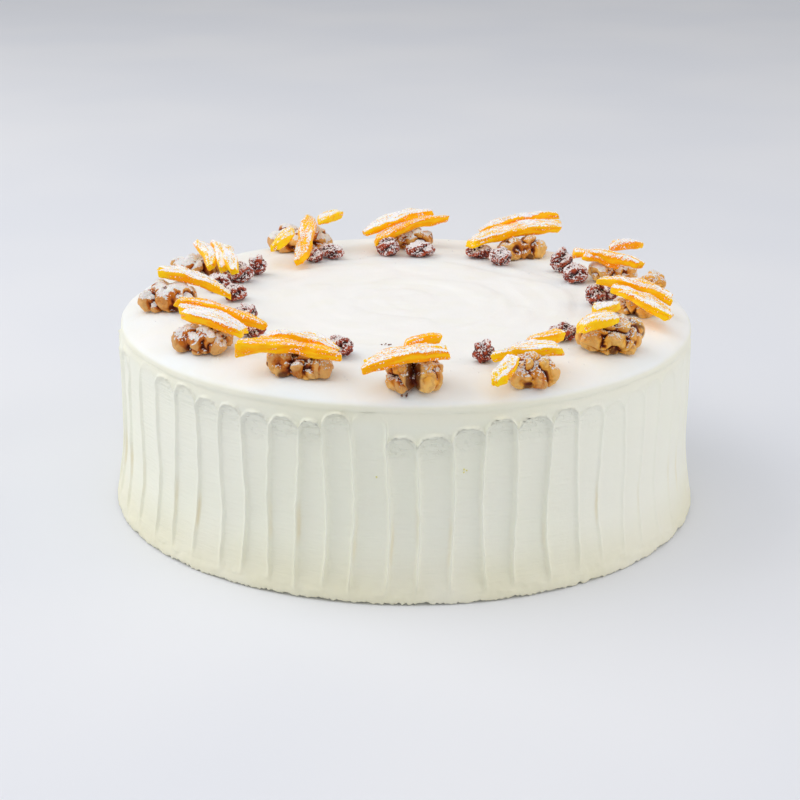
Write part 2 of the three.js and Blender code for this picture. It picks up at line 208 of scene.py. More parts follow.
def make_piece(name, points, faces, material, attributes=None, smooth=True):
    """A piece from points in millimetres, with a number per point for each named attribute."""
    mesh = bpy.data.meshes.new(name)
    mesh.from_pydata((np.asarray(points) * MM).tolist(), [], faces)
    for key, values in (attributes or {}).items():
        layer = mesh.attributes.new(key, "FLOAT", "POINT")
        layer.data.foreach_set("value", np.asarray(values, np.float32))
    mesh.polygons.foreach_set("use_smooth", [smooth] * len(mesh.polygons))
    mesh.materials.append(material)
    mesh.update()
    piece = bpy.data.objects.new(name, mesh)
    bpy.context.scene.collection.objects.link(piece)
    return piece


def stand_for(piece, node):
    """Puts a piece in the place of a node of the solid model, hung on the root, and hides the node."""
    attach(piece, "root")
    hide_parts(node)


def ball_mesh(subdivisions):
    """Unit directions, triangles and edges of a finely divided icosahedron."""
    made = bmesh.new()
    bmesh.ops.create_icosphere(made, subdivisions=subdivisions, radius=1)
    points = np.array([vertex.co for vertex in made.verts])
    faces = np.array([[vertex.index for vertex in face.verts] for face in made.faces])
    edges = np.array([[vertex.index for vertex in edge.verts] for edge in made.edges])
    made.free()
    return points / np.linalg.norm(points, axis=1)[:, None], faces, edges


def spread_out(values, edges, rounds):
    """Values evened out over the neighbours of each point."""
    count = len(values)
    degree = np.bincount(edges.ravel(), minlength=count)
    for _ in range(rounds):
        total = np.bincount(edges[:, 0], values[edges[:, 1]], count)
        total += np.bincount(edges[:, 1], values[edges[:, 0]], count)
        values = 0.3 * values + 0.7 * total / degree
    return values


# ---------------------------------------------------------------- wall of the cake

# How the columns stand across a stroke, closer together near its ridges.
COLUMN_SHARES = np.array([0, .022, .045, .07, .1, .15, .25, .375, .5, .625, .75, .85, .9, .93,
                          .955, .978])
WALL_ROWS = np.concatenate([np.arange(3, 6, 0.75), np.arange(6, 13, 0.9), np.arange(14.2, 58, 3.1),
                            np.arange(59, 68, 1.3), np.arange(68.4, 81.3, 0.56)])
# Height, rise with the hem's unevenness and distance in from the foot of the rows under the hem.
HEM_ROWS = [(0.0, 0.0, 4.6), (0.2, 1.1, 3.9), (0.3, 1.5, 0.3), (0.9, 1.4, 0.1)]
# Heights between which the columns change from evenly spread to closer near the ridges.
COLUMN_CHANGE = (3, 12)
# How far below its top a stroke starts to round, and where a faint stroke fades and chatter ends.
ARCH_REACH = 8
FAINT_REACH = (16, 3)
CHATTER_START, CHATTER_END = (0.3, 1.5), (6, 13)
# Strokes with tops above these heights are faint.
FAINT_TOPS = (80.2, 81.4)
# Height and half width of the fold in the icing under the lip, and where the lip starts to wander.
FOLD_HEIGHT, FOLD_HALF_WIDTH = 80.9, 1.5
WANDER_START = (70, 81)
# How far the wall's surface lies inside its nominal radius, and stays inside the foot's.
WALL_INSET, FOOT_INSET = 0.12, 0.25
# The stains beside ridges: their distance from the ridge and half width, the height of their feet
# and how that varies, and the heights above the foot over which they come and go.
STAIN_INSET, STAIN_HALF_WIDTH = 0.9, 0.6
STAIN_FOOT, STAIN_FOOT_SPREAD = 17, 9
STAIN_START, STAIN_END = (-4, 4), (8, 22)


def lay_out_strokes():
    """Width, top, ridge angle and phase of every stroke round the wall."""
    hidden = STROKE_COUNT - len(FRONT_STROKES)
    front_width, front_top = np.array(FRONT_STROKES).T
    widths = np.array([1 + jitter(i + 1, HIDDEN_STROKE_SPREAD) for i in range(hidden)])
    low, high = HIDDEN_STROKE_TOP
    tops = np.array([low + (high - low) * random_of(i + 101) for i in range(hidden)])
    widths *= (2 * math.pi * TOP_RADIUS - front_width.sum()) / widths.sum()
    width = np.append(front_width, widths)
    top = np.append(front_top, tops)
    ridge = FIRST_RIDGE_ANGLE + np.append(0, np.cumsum(width)[:-1]) / TOP_RADIUS
    phase = np.array([random_of(i + 201) * 2 * math.pi for i in range(STROKE_COUNT)])
    return width, top, ridge, phase


def wall_radius(z):
    """Radius of the plain wall at a height, with its spread foot."""
    return TOP_RADIUS + FOOT_FLARE * np.maximum(0, 1 - z / FLARE_HEIGHT) ** FLARE_CURVE


def stroke_strength(angle):
    """How strongly the strokes are marked at angles round the wall."""
    return np.interp(np.degrees(angle), *np.transpose(STROKE_STRENGTH))


def lip_wander(angle):
    """How far the lip under the rolled rim rises and falls on its way round."""
    return 0.8 * noise(on_circle(angle, TOP_RADIUS, 0) / 24, 33)


def wall_unevenness(z, place, arch, channel):
    """Streaks along the strokes, smears near the foot, the fold under the lip and a broad swell."""
    streaks = 0.07 * noise(place / [1.7, 1.7, 34], 24) * channel
    smear = 0.4 * noise(place / [5, 5, 3], 26) + 0.35 * noise(place / [2.2, 2.2, 1.6], 29)
    smear *= 1 - smoothstep(z + 2 * noise(place / 12, 30), 4, 13)
    fold = 0.4 * np.exp(-(((z - FOLD_HEIGHT) / FOLD_HALF_WIDTH) ** 2)) * (1 - channel * (1 - arch))
    swell = 0.24 * noise(place / [19, 19, 14], 28) * smoothstep(z, 0, 6)
    return streaks + smear - fold + swell


class StrokeWall:
    """The columns of points round the wall, marked by the upright strokes of a spatula."""

    def __init__(self):
        self.width, self.top, self.ridge, self.phase = lay_out_strokes()
        self.stroke = np.repeat(np.arange(STROKE_COUNT), len(COLUMN_SHARES))
        self.before = (self.stroke - 1) % STROKE_COUNT
        self.after = (self.stroke + 1) % STROKE_COUNT
        self.full_turn = np.where(self.stroke == STROKE_COUNT - 1, 2 * math.pi, 0)
        self.spread_columns(CAKE_HEIGHT)
        self.strength = stroke_strength(self.angle)
        self.faintness = smoothstep(self.top, *FAINT_TOPS)
        self.stain_side = np.where(self.ridge % (2 * math.pi) < 1.5 * math.pi, 1, -1)
        numbers = range(STROKE_COUNT)
        self.stain_amount = np.array([max(0, random_of(i + 301) * 1.6 - 0.5) for i in numbers])
        self.stain_low = np.array([STAIN_FOOT + STAIN_FOOT_SPREAD * random_of(i + 351)
                                   for i in numbers])

    def spread_columns(self, z):
        """Columns stand evenly at the foot, and closer together near the ridges above it."""
        even = np.arange(len(COLUMN_SHARES)) / len(COLUMN_SHARES)
        shares = even + (COLUMN_SHARES - even) * smoothstep(z, *COLUMN_CHANGE)
        self.share = np.tile(shares, STROKE_COUNT)
        self.across = (self.share - 0.5) * self.width[self.stroke]
        self.angle = (self.ridge[self.stroke] * (1 - self.share)
                      + (self.ridge[self.after] + self.full_turn) * self.share)

    def ridge_angle(self, stroke, z):
        """Angle of the ridge before each stroke, which wanders on its way up."""
        slow = RIDGE_WANDER * np.sin(z / RIDGE_WAVE + self.phase[stroke])
        place = np.stack([stroke * 7.3, np.full(len(stroke), z / 6), self.phase[stroke]], 1)
        quick = 0.5 * noise(place, 3) * smoothstep(z, 2, 16)
        return self.ridge[stroke] + (slow + quick) / TOP_RADIUS

    def angle_at(self, z):
        """Angle of every column at one height."""
        low, high = self.ridge_angle(self.stroke, z), self.ridge_angle(self.after, z)
        return low * (1 - self.share) + (high + self.full_turn) * self.share

    def inside_of(self, stroke, sideways, z):
        """How far a place beside the middle line of a stroke is inside its outline."""
        half = self.width[stroke] / 2
        return half - np.hypot(sideways, np.maximum(0, z - (self.top[stroke] - half)))

    def inside(self, z):
        """How far each column is inside the nearest stroke at one height."""
        own_width = self.width[self.stroke]
        left = self.across + (own_width + self.width[self.before]) / 2
        right = self.across - (own_width + self.width[self.after]) / 2
        reach = self.inside_of(self.stroke, self.across, z)
        reach = np.maximum(reach, self.inside_of(self.before, left, z))
        return np.maximum(reach, self.inside_of(self.after, right, z))

    def stain(self, z):
        """Faint tan lines low down beside some ridges."""
        beside = self.across + self.width[self.stroke] / 2 - STAIN_INSET
        beside_next = self.across - self.width[self.stroke] / 2 + STAIN_INSET
        total = np.zeros(len(self.across))
        for stroke, sideways, side in ((self.stroke, beside, 1), (self.after, beside_next, -1)):
            low = self.stain_low[stroke]
            reach = smoothstep(z - low, *STAIN_START) * (1 - smoothstep(z - low, *STAIN_END))
            shown = (self.stain_side[stroke] == side) * self.stain_amount[stroke]
            total += np.exp(-((sideways / STAIN_HALF_WIDTH) ** 2)) * shown * reach
        return total

    def hem(self):
        """Uneven edge, 0 to 1, of the icing where it meets the plate."""
        uneven = 0.6 * noise(on_circle(self.angle, 9, 0), 10)
        uneven += 0.4 * noise(on_circle(self.angle, 26, 0), 11)
        uneven += 0.7 * noise(on_circle(self.angle, 95, 0), 12)
        return np.clip(0.4 + uneven, 0.03, 1)

    def hem_row(self, low, rise, pull):
        """Points of one row under the hem."""
        self.spread_columns(0)
        hem = self.hem()
        chips = 0.4 + 0.4 * noise(on_circle(self.angle, 60, 0), 13)
        radius = TOP_RADIUS + FOOT_FLARE - pull - 0.4 * hem - 0.4 * np.clip(chips, 0, 1)
        return on_circle(self.angle, radius, low + rise * hem)

    def marked(self, z, place):
        """How strongly the strokes mark each column at one height."""
        top, faint = self.top[self.stroke], self.faintness[self.stroke]
        low_edge = z + 3.5 * noise(place / [7, 7, 60], 23)
        fade = smoothstep(low_edge, STROKE_FADE_LOW, STROKE_FADE_HIGH)
        fading = smoothstep(z, top - FAINT_REACH[0], top - FAINT_REACH[1])
        fade *= (1 - 0.75 * faint * fading) * self.strength
        return fade

    def stroke_relief(self, inside, place, arch, channel):
        """How far the crests of the ridges stand out and the floors of the strokes lie back."""
        uneven = 1 + 0.5 * noise(place / [4, 4, 9], 21) + 0.5 * arch * noise(place / 1.9, 20)
        band = CREST_BAND * (1 - 0.35 * arch)
        crest = CREST_HEIGHT * (1 + 0.7 * arch) * uneven * np.exp(-((inside / band) ** 2))
        hollow = STROKE_HOLLOW * (1 - (2 * self.across / self.width[self.stroke]) ** 2)
        floor = STROKE_DEPTH * (1 + 0.22 * noise(place / [9, 9, 16], 22)) + hollow
        floor *= 1 - 0.95 * arch
        ripple = 0.2 * noise(place / [4, 4, 1.9], 25) * arch * channel
        return crest - floor * channel + ripple

    def chatter(self, z, place, channel):
        """Where the spatula chattered, just under the round tops of the strokes."""
        depth = self.top[self.stroke] - z
        shown = np.clip(self.strength - 0.25, 0, 1)
        started = smoothstep(depth, *CHATTER_START)
        chatter = channel * (1 - self.faintness[self.stroke]) * started * shown
        chatter *= 1 - smoothstep(depth + 3 * noise(place / [5, 5, 9], 27), *CHATTER_END)
        return chatter

    def row(self, z):
        """Points at one height, and their stain, chatter and channel marks."""
        self.spread_columns(z)
        angle = self.angle_at(z)
        place = on_circle(angle, TOP_RADIUS, z)
        inside, top = self.inside(z), self.top[self.stroke]
        arch = smoothstep(z, top - ARCH_REACH, top)
        channel = smoothstep(inside, FLOOR_START, FLOOR_END)
        fade = self.marked(z, place)
        radius = wall_radius(z) - WALL_INSET + self.stroke_relief(inside, place, arch, channel) * fade
        radius += wall_unevenness(z, place, arch, channel)
        radius = np.minimum(radius, TOP_RADIUS + FOOT_FLARE - FOOT_INSET)
        height = z + lip_wander(angle) * smoothstep(z, *WANDER_START)
        height += 0.4 * self.hem() * np.maximum(0, 5 - z) / 1.5
        points = on_circle(angle, radius, height)
        return points, self.stain(z), self.chatter(z, place, channel), channel * fade


# ---------------------------------------------------------------- rim and top of the cake

# Distance in from the wall and height of each row over the lip below the rolled rim.
RIM_LIP = [(0.3, 81.4), (0.08, 81.9), (0.0, 82.5), (0.15, 83.1)]
RIM_SHARES = (0.012, 0.03, 0.055, 0.09, 0.14, 0.22, 0.36, 0.6, 1.0)
# The top slopes down towards its edge, and then rolls over tightly to the wall.
SLOPE_FALL, SLOPE_CURVE = 5.5, 1.35
ROLL_FALL, ROLL_CURVE = 1.7, 20
# Share of that slope that the icing pushed up round a topping makes good.
SLOPE_FILLED = 0.75
# The top has a point for every fourth column of the wall, in rings towards its middle.
TOP_STEP = 4
TOP_RINGS = 58
# How much further the painted cool tint round a topping reaches than its bed; it cancels the orange
# light the toppings bounce onto the icing.
COOL_TINT_SPREAD = 2.2


def rim_rows(angle):
    """Rows over the lip and up the rolled rim to the flat of the top."""
    place = on_circle(angle, TOP_RADIUS, 0)
    wave = 0.3 * noise(place / 17, 31) + 0.14 * noise(place / 4, 32) - 0.2
    profile = [(inward, height, 0.0) for inward, height in RIM_LIP]
    profile += [(RIM_WIDTH * share, CAKE_HEIGHT - ROLL_FALL * (1 - share) ** ROLL_CURVE, share)
                for share in RIM_SHARES]
    rows = []
    for inward, height, share in profile:
        radius = TOP_RADIUS - inward + wave * (1 - share)
        level = height + lip_wander(angle) * (1 - share) ** 2
        x, y = on_circle(angle, radius, 0).T[:2]
        if share:
            pressed = topping_swell(x, y) * smoothstep(share, 0.03, 0.35)
            level -= edge_slope(TOP_RADIUS - inward) * (1 - SLOPE_FILLED * pressed)
        rows.append(on_circle(angle, radius, level + share**2 * top_relief(x, y)))
    return rows


def edge_slope(radius):
    """How far the top has sloped down at a radius."""
    outward = np.clip(1 - (TOP_RADIUS - radius) / RIM_WIDTH, 0, 1)
    return SLOPE_FALL * outward**SLOPE_CURVE


def topping_swell(x, y, spread=1.0):
    """How near places on the top are to a topping pressed into the icing, 0 to 1."""
    swell = np.zeros(len(x))
    beds = [(nut[0], nut[1], max(nut[3:5]) / 2.4) for nut in WALNUTS]
    beds += [(raisin[0], raisin[1], raisin[2] / 2.2) for raisin in RAISINS]
    for bed_x, bed_y, size in beds:
        away = ((x - bed_x) ** 2 + (y - bed_y) ** 2) / (spread * size) ** 2
        swell = np.maximum(swell, np.exp(-away))
    return swell


def top_relief(x, y):
    """The shallow ledges left by the palette knife on the top, and a swell under toppings."""
    radius, angle = np.hypot(x, y), np.arctan2(y, x)
    swirled = on_circle(angle + radius / 60, radius, 0)
    sweep = swirled / 52 + [[0, 0, 1]] * radius[:, None] / 14
    ledges = smoothstep(noise(sweep, 41), -0.06, 0.06) + smoothstep(noise(sweep, 44), 0.0, 0.12)
    broad = noise(swirled / 26, 42)
    fine = noise(swirled / 24 + [[0, 0, 1]] * radius[:, None] / 2.6, 43)
    relief = 0.5 * ledges + 0.28 * broad + 0.1 * fine - 0.7
    swell = topping_swell(x, y)
    return relief * (1 - 0.6 * swell) + 0.45 * swell


def band_faces(low, high, columns):
    """Four-sided faces between two closed rows of points."""
    here = np.arange(columns)
    ahead = (here + 1) % columns
    return np.stack([low + here, low + ahead, high + ahead, high + here], 1).tolist()


def seam_faces(edge, ring, columns):
    """Faces between a fine closed row and a coarser one that has a point for every fourth."""
    coarse = columns // TOP_STEP
    faces = []
    for k in range(coarse):
        fine = [edge + (k * TOP_STEP + j) % columns for j in range(TOP_STEP + 1)]
        a, b = ring + k, ring + (k + 1) % coarse
        faces += [(fine[0], fine[1], a), (fine[1], fine[2], a), (fine[2], b, a),
                  (fine[2], fine[3], b), (fine[3], fine[4], b)]
    return faces


def top_rings(angle):
    """Rings of points over the flat of the top, its middle, and the middle of the underside."""
    rings = []
    for ring in range(1, TOP_RINGS):
        flat = on_circle(angle, (TOP_RADIUS - RIM_WIDTH) * (1 - ring / TOP_RINGS), 0)
        rings.append(flat + [[0, 0, CAKE_HEIGHT]] + top_relief(*flat.T[:2])[:, None] * [0, 0, 1])
    middle = CAKE_HEIGHT + top_relief(np.zeros(1), np.zeros(1))[0]
    return rings + [[[0, 0, middle], [0, 0, 0]]]


def drum_faces(fine_rows, columns):
    """Faces up the wall and the rim, in over the top, and across the underside."""
    coarse = columns // TOP_STEP
    first_ring = fine_rows * columns
    last_ring = first_ring + (TOP_RINGS - 2) * coarse
    middle = last_ring + coarse
    faces = []
    for row in range(fine_rows - 1):
        faces += band_faces(row * columns, (row + 1) * columns, columns)
    faces += seam_faces(first_ring - columns, first_ring, columns)
    for ring in range(TOP_RINGS - 2):
        faces += band_faces(first_ring + ring * coarse, first_ring + (ring + 1) * coarse, coarse)
    faces += [(last_ring + k, last_ring + (k + 1) % coarse, middle) for k in range(coarse)]
    faces += [((k + 1) % columns, k, middle + 1) for k in range(columns)]
    return faces


def iced_cake(material):
    """The whole iced drum, one closed mesh, with its marks as numbers for its finish."""
    wall = StrokeWall()
    columns = len(wall.angle)
    rows = [wall.hem_row(*hem) for hem in HEM_ROWS]
    marks = [np.zeros((3, columns)) for _ in HEM_ROWS]
    for z in WALL_ROWS:
        points, *row_marks = wall.row(z)
        rows.append(points)
        marks.append(np.array(row_marks))
    rows += rim_rows(wall.angle)
    faces = drum_faces(len(rows), columns)
    rows += top_rings(wall.angle[::TOP_STEP])
    points = np.concatenate(rows)
    marks = np.concatenate(marks, axis=1)
    marks = np.pad(marks, ((0, 0), (0, len(points) - marks.shape[1])))
    attributes = dict(zip(("stain", "chatter", "channel"), marks))
    # Painted cool tint round the toppings, cancelling the orange light they bounce onto the icing.
    attributes["painted_cool_tint"] = topping_swell(*points.T[:2], COOL_TINT_SPREAD)
    piece = make_piece("iced_drum", points, faces, material, attributes)
    stand_for(piece, "iced_cake")


# ---------------------------------------------------------------- walnut halves

# Depths of the winding folds, the valleys between lobes and the ledges, and height of the lumps.
FOLD_DEPTH, VALLEY_DEPTH, LEDGE_DEPTH, LUMP_HEIGHT = 2.4, 1.5, 0.5, 0.2
# The dark hollow at the foot: its depth, length and height, and how far down its middle is.
HOLLOW_DEPTH, HOLLOW_SIZE, HOLLOW_DROP = 2.6, (2.8, 2.6), 3.5
# Rounds of evening out that the relief is measured against, and the relief that counts as full.
WALNUT_EVENING, WALNUT_RELIEF = 70, 1.1
# How deep a nut is pressed into the icing, and the share of the slope under it that it also sinks.
WALNUT_SINK, SLOPE_SINK = 0.3, 0.35
# How thickly loose sugar lies on a nut, and the upward part of the normal where it starts to.
WALNUT_GRAINS, WALNUT_STEEPEST = 0.5, 0.35


def walnut_lobes(seed, stretch):
    """Centres and radii of the round lobes that make up one walnut half."""
    swell = np.cbrt(stretch.prod())
    centres, radii = [], []
    for side in (-1, 1):
        for count, span, out, up, radius in WALNUT_TIERS:
            for i in range(count):
                key = seed * 100 + len(radii) * 4
                along = (i / (count - 1) - 0.5) * span
                pinch = 1 - WALNUT_PINCH * (2 * along / WALNUT_TIERS[0][1]) ** 2
                centres.append([along + jitter(key + 1, WALNUT_JITTER),
                                side * out * pinch + jitter(key + 2, WALNUT_JITTER * 0.5),
                                up + jitter(key + 3, WALNUT_JITTER * 0.6)])
                radii.append(swell * radius * (1 + jitter(key + 4, 0.1)))
    return np.array(centres) * stretch, np.array(radii)


def walnut_surface(seed, stretch, directions):
    """Reach of the lobes in each direction, how deep in a valley it is, and the lobe's number."""
    centres, radii = walnut_lobes(seed, stretch)
    bent = warped(directions * 3.2, 0.3, seed + 900)
    bent /= np.linalg.norm(bent, axis=1)[:, None]
    toward = bent @ centres.T
    spare = toward**2 - (centres**2).sum(1) + radii**2
    reach = np.where(spare > 0, toward + np.sqrt(np.maximum(spare, 0)), 0)
    core = WALNUT_CORE * stretch[2]
    order = np.argsort(reach, axis=1)
    tallest = np.take_along_axis(reach, order[:, -1:], 1)[:, 0]
    second = np.take_along_axis(reach, order[:, -2:-1], 1)[:, 0]
    valley = np.exp(-(((tallest - second) / 0.8) ** 2)) * smoothstep(second, core, core * 1.4)
    blend = 0.9
    smooth = blend * np.log(np.exp(reach / blend).sum(1) + math.exp(core / blend))
    return smooth, valley, order[:, -1]


def walnut_floor(stretch, directions, reach):
    """How far a direction that looks down can go before the hollow underside."""
    down = np.maximum(-directions[:, 2], 1e-6)
    sideways = directions[:, 1] * reach / WALNUT_HOLLOW_WIDTH / stretch[1]
    return stretch[2] * (WALNUT_UNDERSIDE - WALNUT_HOLLOW * np.exp(-(sideways**2))) / down


def settle_on(points, node, sink):
    """Shifts points so that their lowest is a little below that of the solid."""
    low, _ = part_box(node)
    points[:, 2] += low.z / MM - sink - points[:, 2].min()
    return points


def raised_to(points, node):
    """Stretches points upward so that they reach as high as their solid, where peel lies on it."""
    _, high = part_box(node)
    foot = points[:, 2].min()
    points[:, 2] = foot + (points[:, 2] - foot) * (high.z / MM - foot) / np.ptp(points[:, 2])
    return points


def walnut_groove(shape, seed, cleft):
    """How far inside the cleft along the nut's middle each point is, 0 to 1."""
    sideways = shape[:, 1] + 0.8 * noise(shape / 5, seed + 3)
    return np.exp(-((sideways / (0.6 + 0.5 * cleft)) ** 2)) * smoothstep(shape[:, 2], -5, 1)


def walnut_hollow(shape, stretch, hollow_at):
    """How far inside the dark hollow at the nut's foot each point is, 0 to 1."""
    length, height = HOLLOW_SIZE
    away = np.hypot((shape[:, 0] - hollow_at) / length,
                    (shape[:, 2] + HOLLOW_DROP * stretch[2]) / height)
    return np.exp(-(away**2))


def walnut_wrinkles(reach, shape, seed, valley, cleft_cut, hollow_cut):
    """Reach of the lobes less the folds, valleys, cleft and hollow, with ledges and lumps."""
    winding = np.abs(noise(warped(shape / 12.5, 0.4, seed), seed + 4))
    fold = (1 - np.minimum(1, winding / 0.29)) ** 2
    ledge = smoothstep(noise(warped(shape / 6, 0.3, seed), seed + 5), -0.04, 0.04)
    lumps = noise(shape / 2.4, seed + 7) + 0.5 * noise(shape / 1.0, seed + 8)
    depth = smoothstep(noise(shape / 6, seed + 6), -0.1, 0.35)
    cut = np.maximum(FOLD_DEPTH * fold, VALLEY_DEPTH * valley * depth)
    cut = np.maximum(cut, cleft_cut) + hollow_cut
    return reach - cut + LEDGE_DEPTH * (ledge - 0.5) + LUMP_HEIGHT * lumps


def walnut_half(place, index, ball, material):
    """One walnut half on the icing, and what its sugar grains need."""
    x, y, turn, length, width, height, lean, sugar, cleft, hollow_at = place
    directions, faces, edges = ball
    stretch = np.array([length, width, height]) / WALNUT_SIZE
    reach, valley, lobe = walnut_surface(index + 1, stretch, directions)
    shape = directions * reach[:, None]
    seed = 50 + index
    groove = walnut_groove(shape, seed, cleft)
    hollow = walnut_hollow(shape, stretch, hollow_at)
    uneven = walnut_wrinkles(reach, shape, seed, valley, cleft * groove,
                             HOLLOW_DEPTH * hollow * stretch[1])
    uneven = np.where(directions[:, 2] < 0,
                      np.minimum(uneven, walnut_floor(stretch, directions, reach)), uneven)
    relief = np.clip((uneven - spread_out(uneven, edges, WALNUT_EVENING)) / WALNUT_RELIEF, -1, 1)
    points = directions * uneven[:, None] @ turn_about("Z", turn).T
    outward = Vector((-y, x, 0)).normalized()
    points = points @ turn_about(outward, lean).T + [x, y, 0]
    sink = WALNUT_SINK + SLOPE_SINK * edge_slope(math.hypot(x, y) + 0.4 * min(length, width))
    node = "walnut_%02d" % (index + 1)
    points = raised_to(settle_on(points, node, sink), node)
    lobe_tone = np.array([random_of(index * 40 + k + 701) for k in range(20)])[lobe]
    paler = 0.2 + 0.25 * math.tanh(x / 60)
    tone = 0.5 * spread_out(lobe_tone, edges, 6) + paler + 0.3 * noise(shape / 5, seed + 9)
    # Partly the dark membrane in the middle cleft, partly painted shade in that cleft and in the
    # hollow at the foot.
    membrane_and_hollow_shade = np.clip(np.maximum(groove * cleft, 1.2 * hollow), 0, 1)
    attributes = {"relief": relief, "tone": tone, "skin": membrane_and_hollow_shade,
                  "sugar": np.full(len(points), sugar)}
    piece = make_piece("walnut_half_%02d" % (index + 1), points, faces.tolist(), material,
                       attributes)
    stand_for(piece, node)
    return points, faces, sugar * WALNUT_GRAINS, WALNUT_STEEPEST


# ---------------------------------------------------------------- raisins

# The same for a raisin as for a nut.
RAISIN_EVENING, RAISIN_RELIEF = 25, 0.5
RAISIN_SINK = 0.3
RAISIN_GRAINS, RAISIN_STEEPEST = 1.3, -0.8


def dried_raisin(place, index, ball, material):
    """One wrinkled raisin on the icing, and what its sugar grains need."""
    x, y, length, width, height, turn = place
    directions, faces, edges = ball
    half = np.array([length, width, height]) / 2
    phase = random_of(index + 401) * 2 * math.pi
    reach = 1 / np.linalg.norm(directions / half, axis=1)
    angle = np.arctan2(directions[:, 2], directions[:, 1])
    fold = np.cos(angle * RAISIN_FOLDS + phase + directions[:, 0] * RAISIN_TWIST)
    sag = np.where(directions[:, 2] < 0, RAISIN_SAG * directions[:, 2] ** 2, 0)
    reach *= (1 + 1.2 * RAISIN_FOLD_DEPTH * fold * (1 - directions[:, 0] ** 2)) * (1 - sag)
    shape = directions * reach[:, None]
    seed = 150 + index
    wrinkle = 1 - np.minimum(1, np.abs(noise(warped(shape / 2.8, 0.6, seed), seed + 4)) / 0.4)
    crease = 1 - np.minimum(1, np.abs(noise(warped(shape / 1.2, 0.4, seed), seed + 5)) / 0.4)
    uneven = reach * 1.03 - RAISIN_WRINKLE_DEPTH * wrinkle**1.5 - RAISIN_CREASE_DEPTH * crease + 0.25
    relief = np.clip((uneven - spread_out(uneven, edges, RAISIN_EVENING)) / RAISIN_RELIEF, -1, 1)
    points = directions * uneven[:, None] @ turn_about("Z", turn).T + [x, y, 0]
    node = "raisin_%02d" % (index + 1)
    points = settle_on(points, node, RAISIN_SINK)
    sugar = 0.66 + 0.1 * math.tanh(y / 60) + jitter(index + 451, 0.06)
    attributes = {"relief": relief, "tone": 0.5 + 0.5 * noise(shape / 5, seed + 9),
                  "sugar": np.full(len(points), sugar)}
    piece = make_piece("raisin_dried_%02d" % (index + 1), points, faces.tolist(), material,
                       attributes)
    stand_for(piece, node)
    return points, faces, RAISIN_GRAINS, RAISIN_STEEPEST


# ---------------------------------------------------------------- candied peel

STICK_CELLS = (80, 10, 6)
STICK_ROUNDING = 0.95
# How much longer, wider and thicker a stick is with its crust of sugar.
STICK_SWELL = np.array([1.0, 1.14, 1.24])
# How far below the top of its solid a bundle ends, so that it lies on what is under it.
STICK_SINK = 0.5
# Place in PEELS of the strip that is split at its left end, and how far the split gapes.
SPLAYED_BUNDLE = 4
SPLIT_GAPE = 1.9
# Relief of a stick's strands, of its crust and of the crust's grain.
STRAND_RELIEF, CRUST_RELIEF, CRUST_GRAIN = 0.17, 0.17, 0.13
# How a stick varies in width and thickness, and how far it wanders sideways and up.
WIDTH_CHANGE, THICKNESS_CHANGE = 0.3, 0.25
SIDEWAYS_BOW, SIDEWAYS_WANDER, UPWARD_WANDER = 1.1, 0.7, 0.6
PEEL_GRAINS, PEEL_STEEPEST = 0.9, 0.55


def block_mesh(cells):
    """Points from -1 to 1 on the surface of a divided block, and its four-sided faces."""
    numbers, points, faces = {}, [], []

    def point_at(place):
        if place not in numbers:
            numbers[place] = len(points)
            points.append([2 * p / n - 1 for p, n in zip(place, cells)])
        return numbers[place]

    for axis in range(3):
        u, v = (axis + 1) % 3, (axis + 2) % 3
        for side in (0, cells[axis]):
            for i in range(cells[u]):
                for j in range(cells[v]):
                    ring = []
                    for di, dj in ((0, 0), (1, 0), (1, 1), (0, 1)):
                        place = [0, 0, 0]
                        place[axis], place[u], place[v] = side, i + di, j + dj
                        ring.append(point_at(tuple(place)))
                    faces.append(ring if side else ring[::-1])
    return np.array(points), np.array(faces)


def rounded_block(unit, half):
    """A block of half sizes whose edges and corners are rounded."""
    body = unit * half
    core = np.clip(body, STICK_ROUNDING - half, half - STICK_ROUNDING)
    away = body - core
    size = np.linalg.norm(away, axis=1)[:, None]
    return core + away / np.maximum(size, 1e-9) * np.minimum(size, STICK_ROUNDING)


def twist(body, angle):
    """Turns each point about the length of a stick by its own angle."""
    cos, sin = np.cos(angle), np.sin(angle)
    body[:, 1], body[:, 2] = (cos * body[:, 1] - sin * body[:, 2],
                              sin * body[:, 1] + cos * body[:, 2])


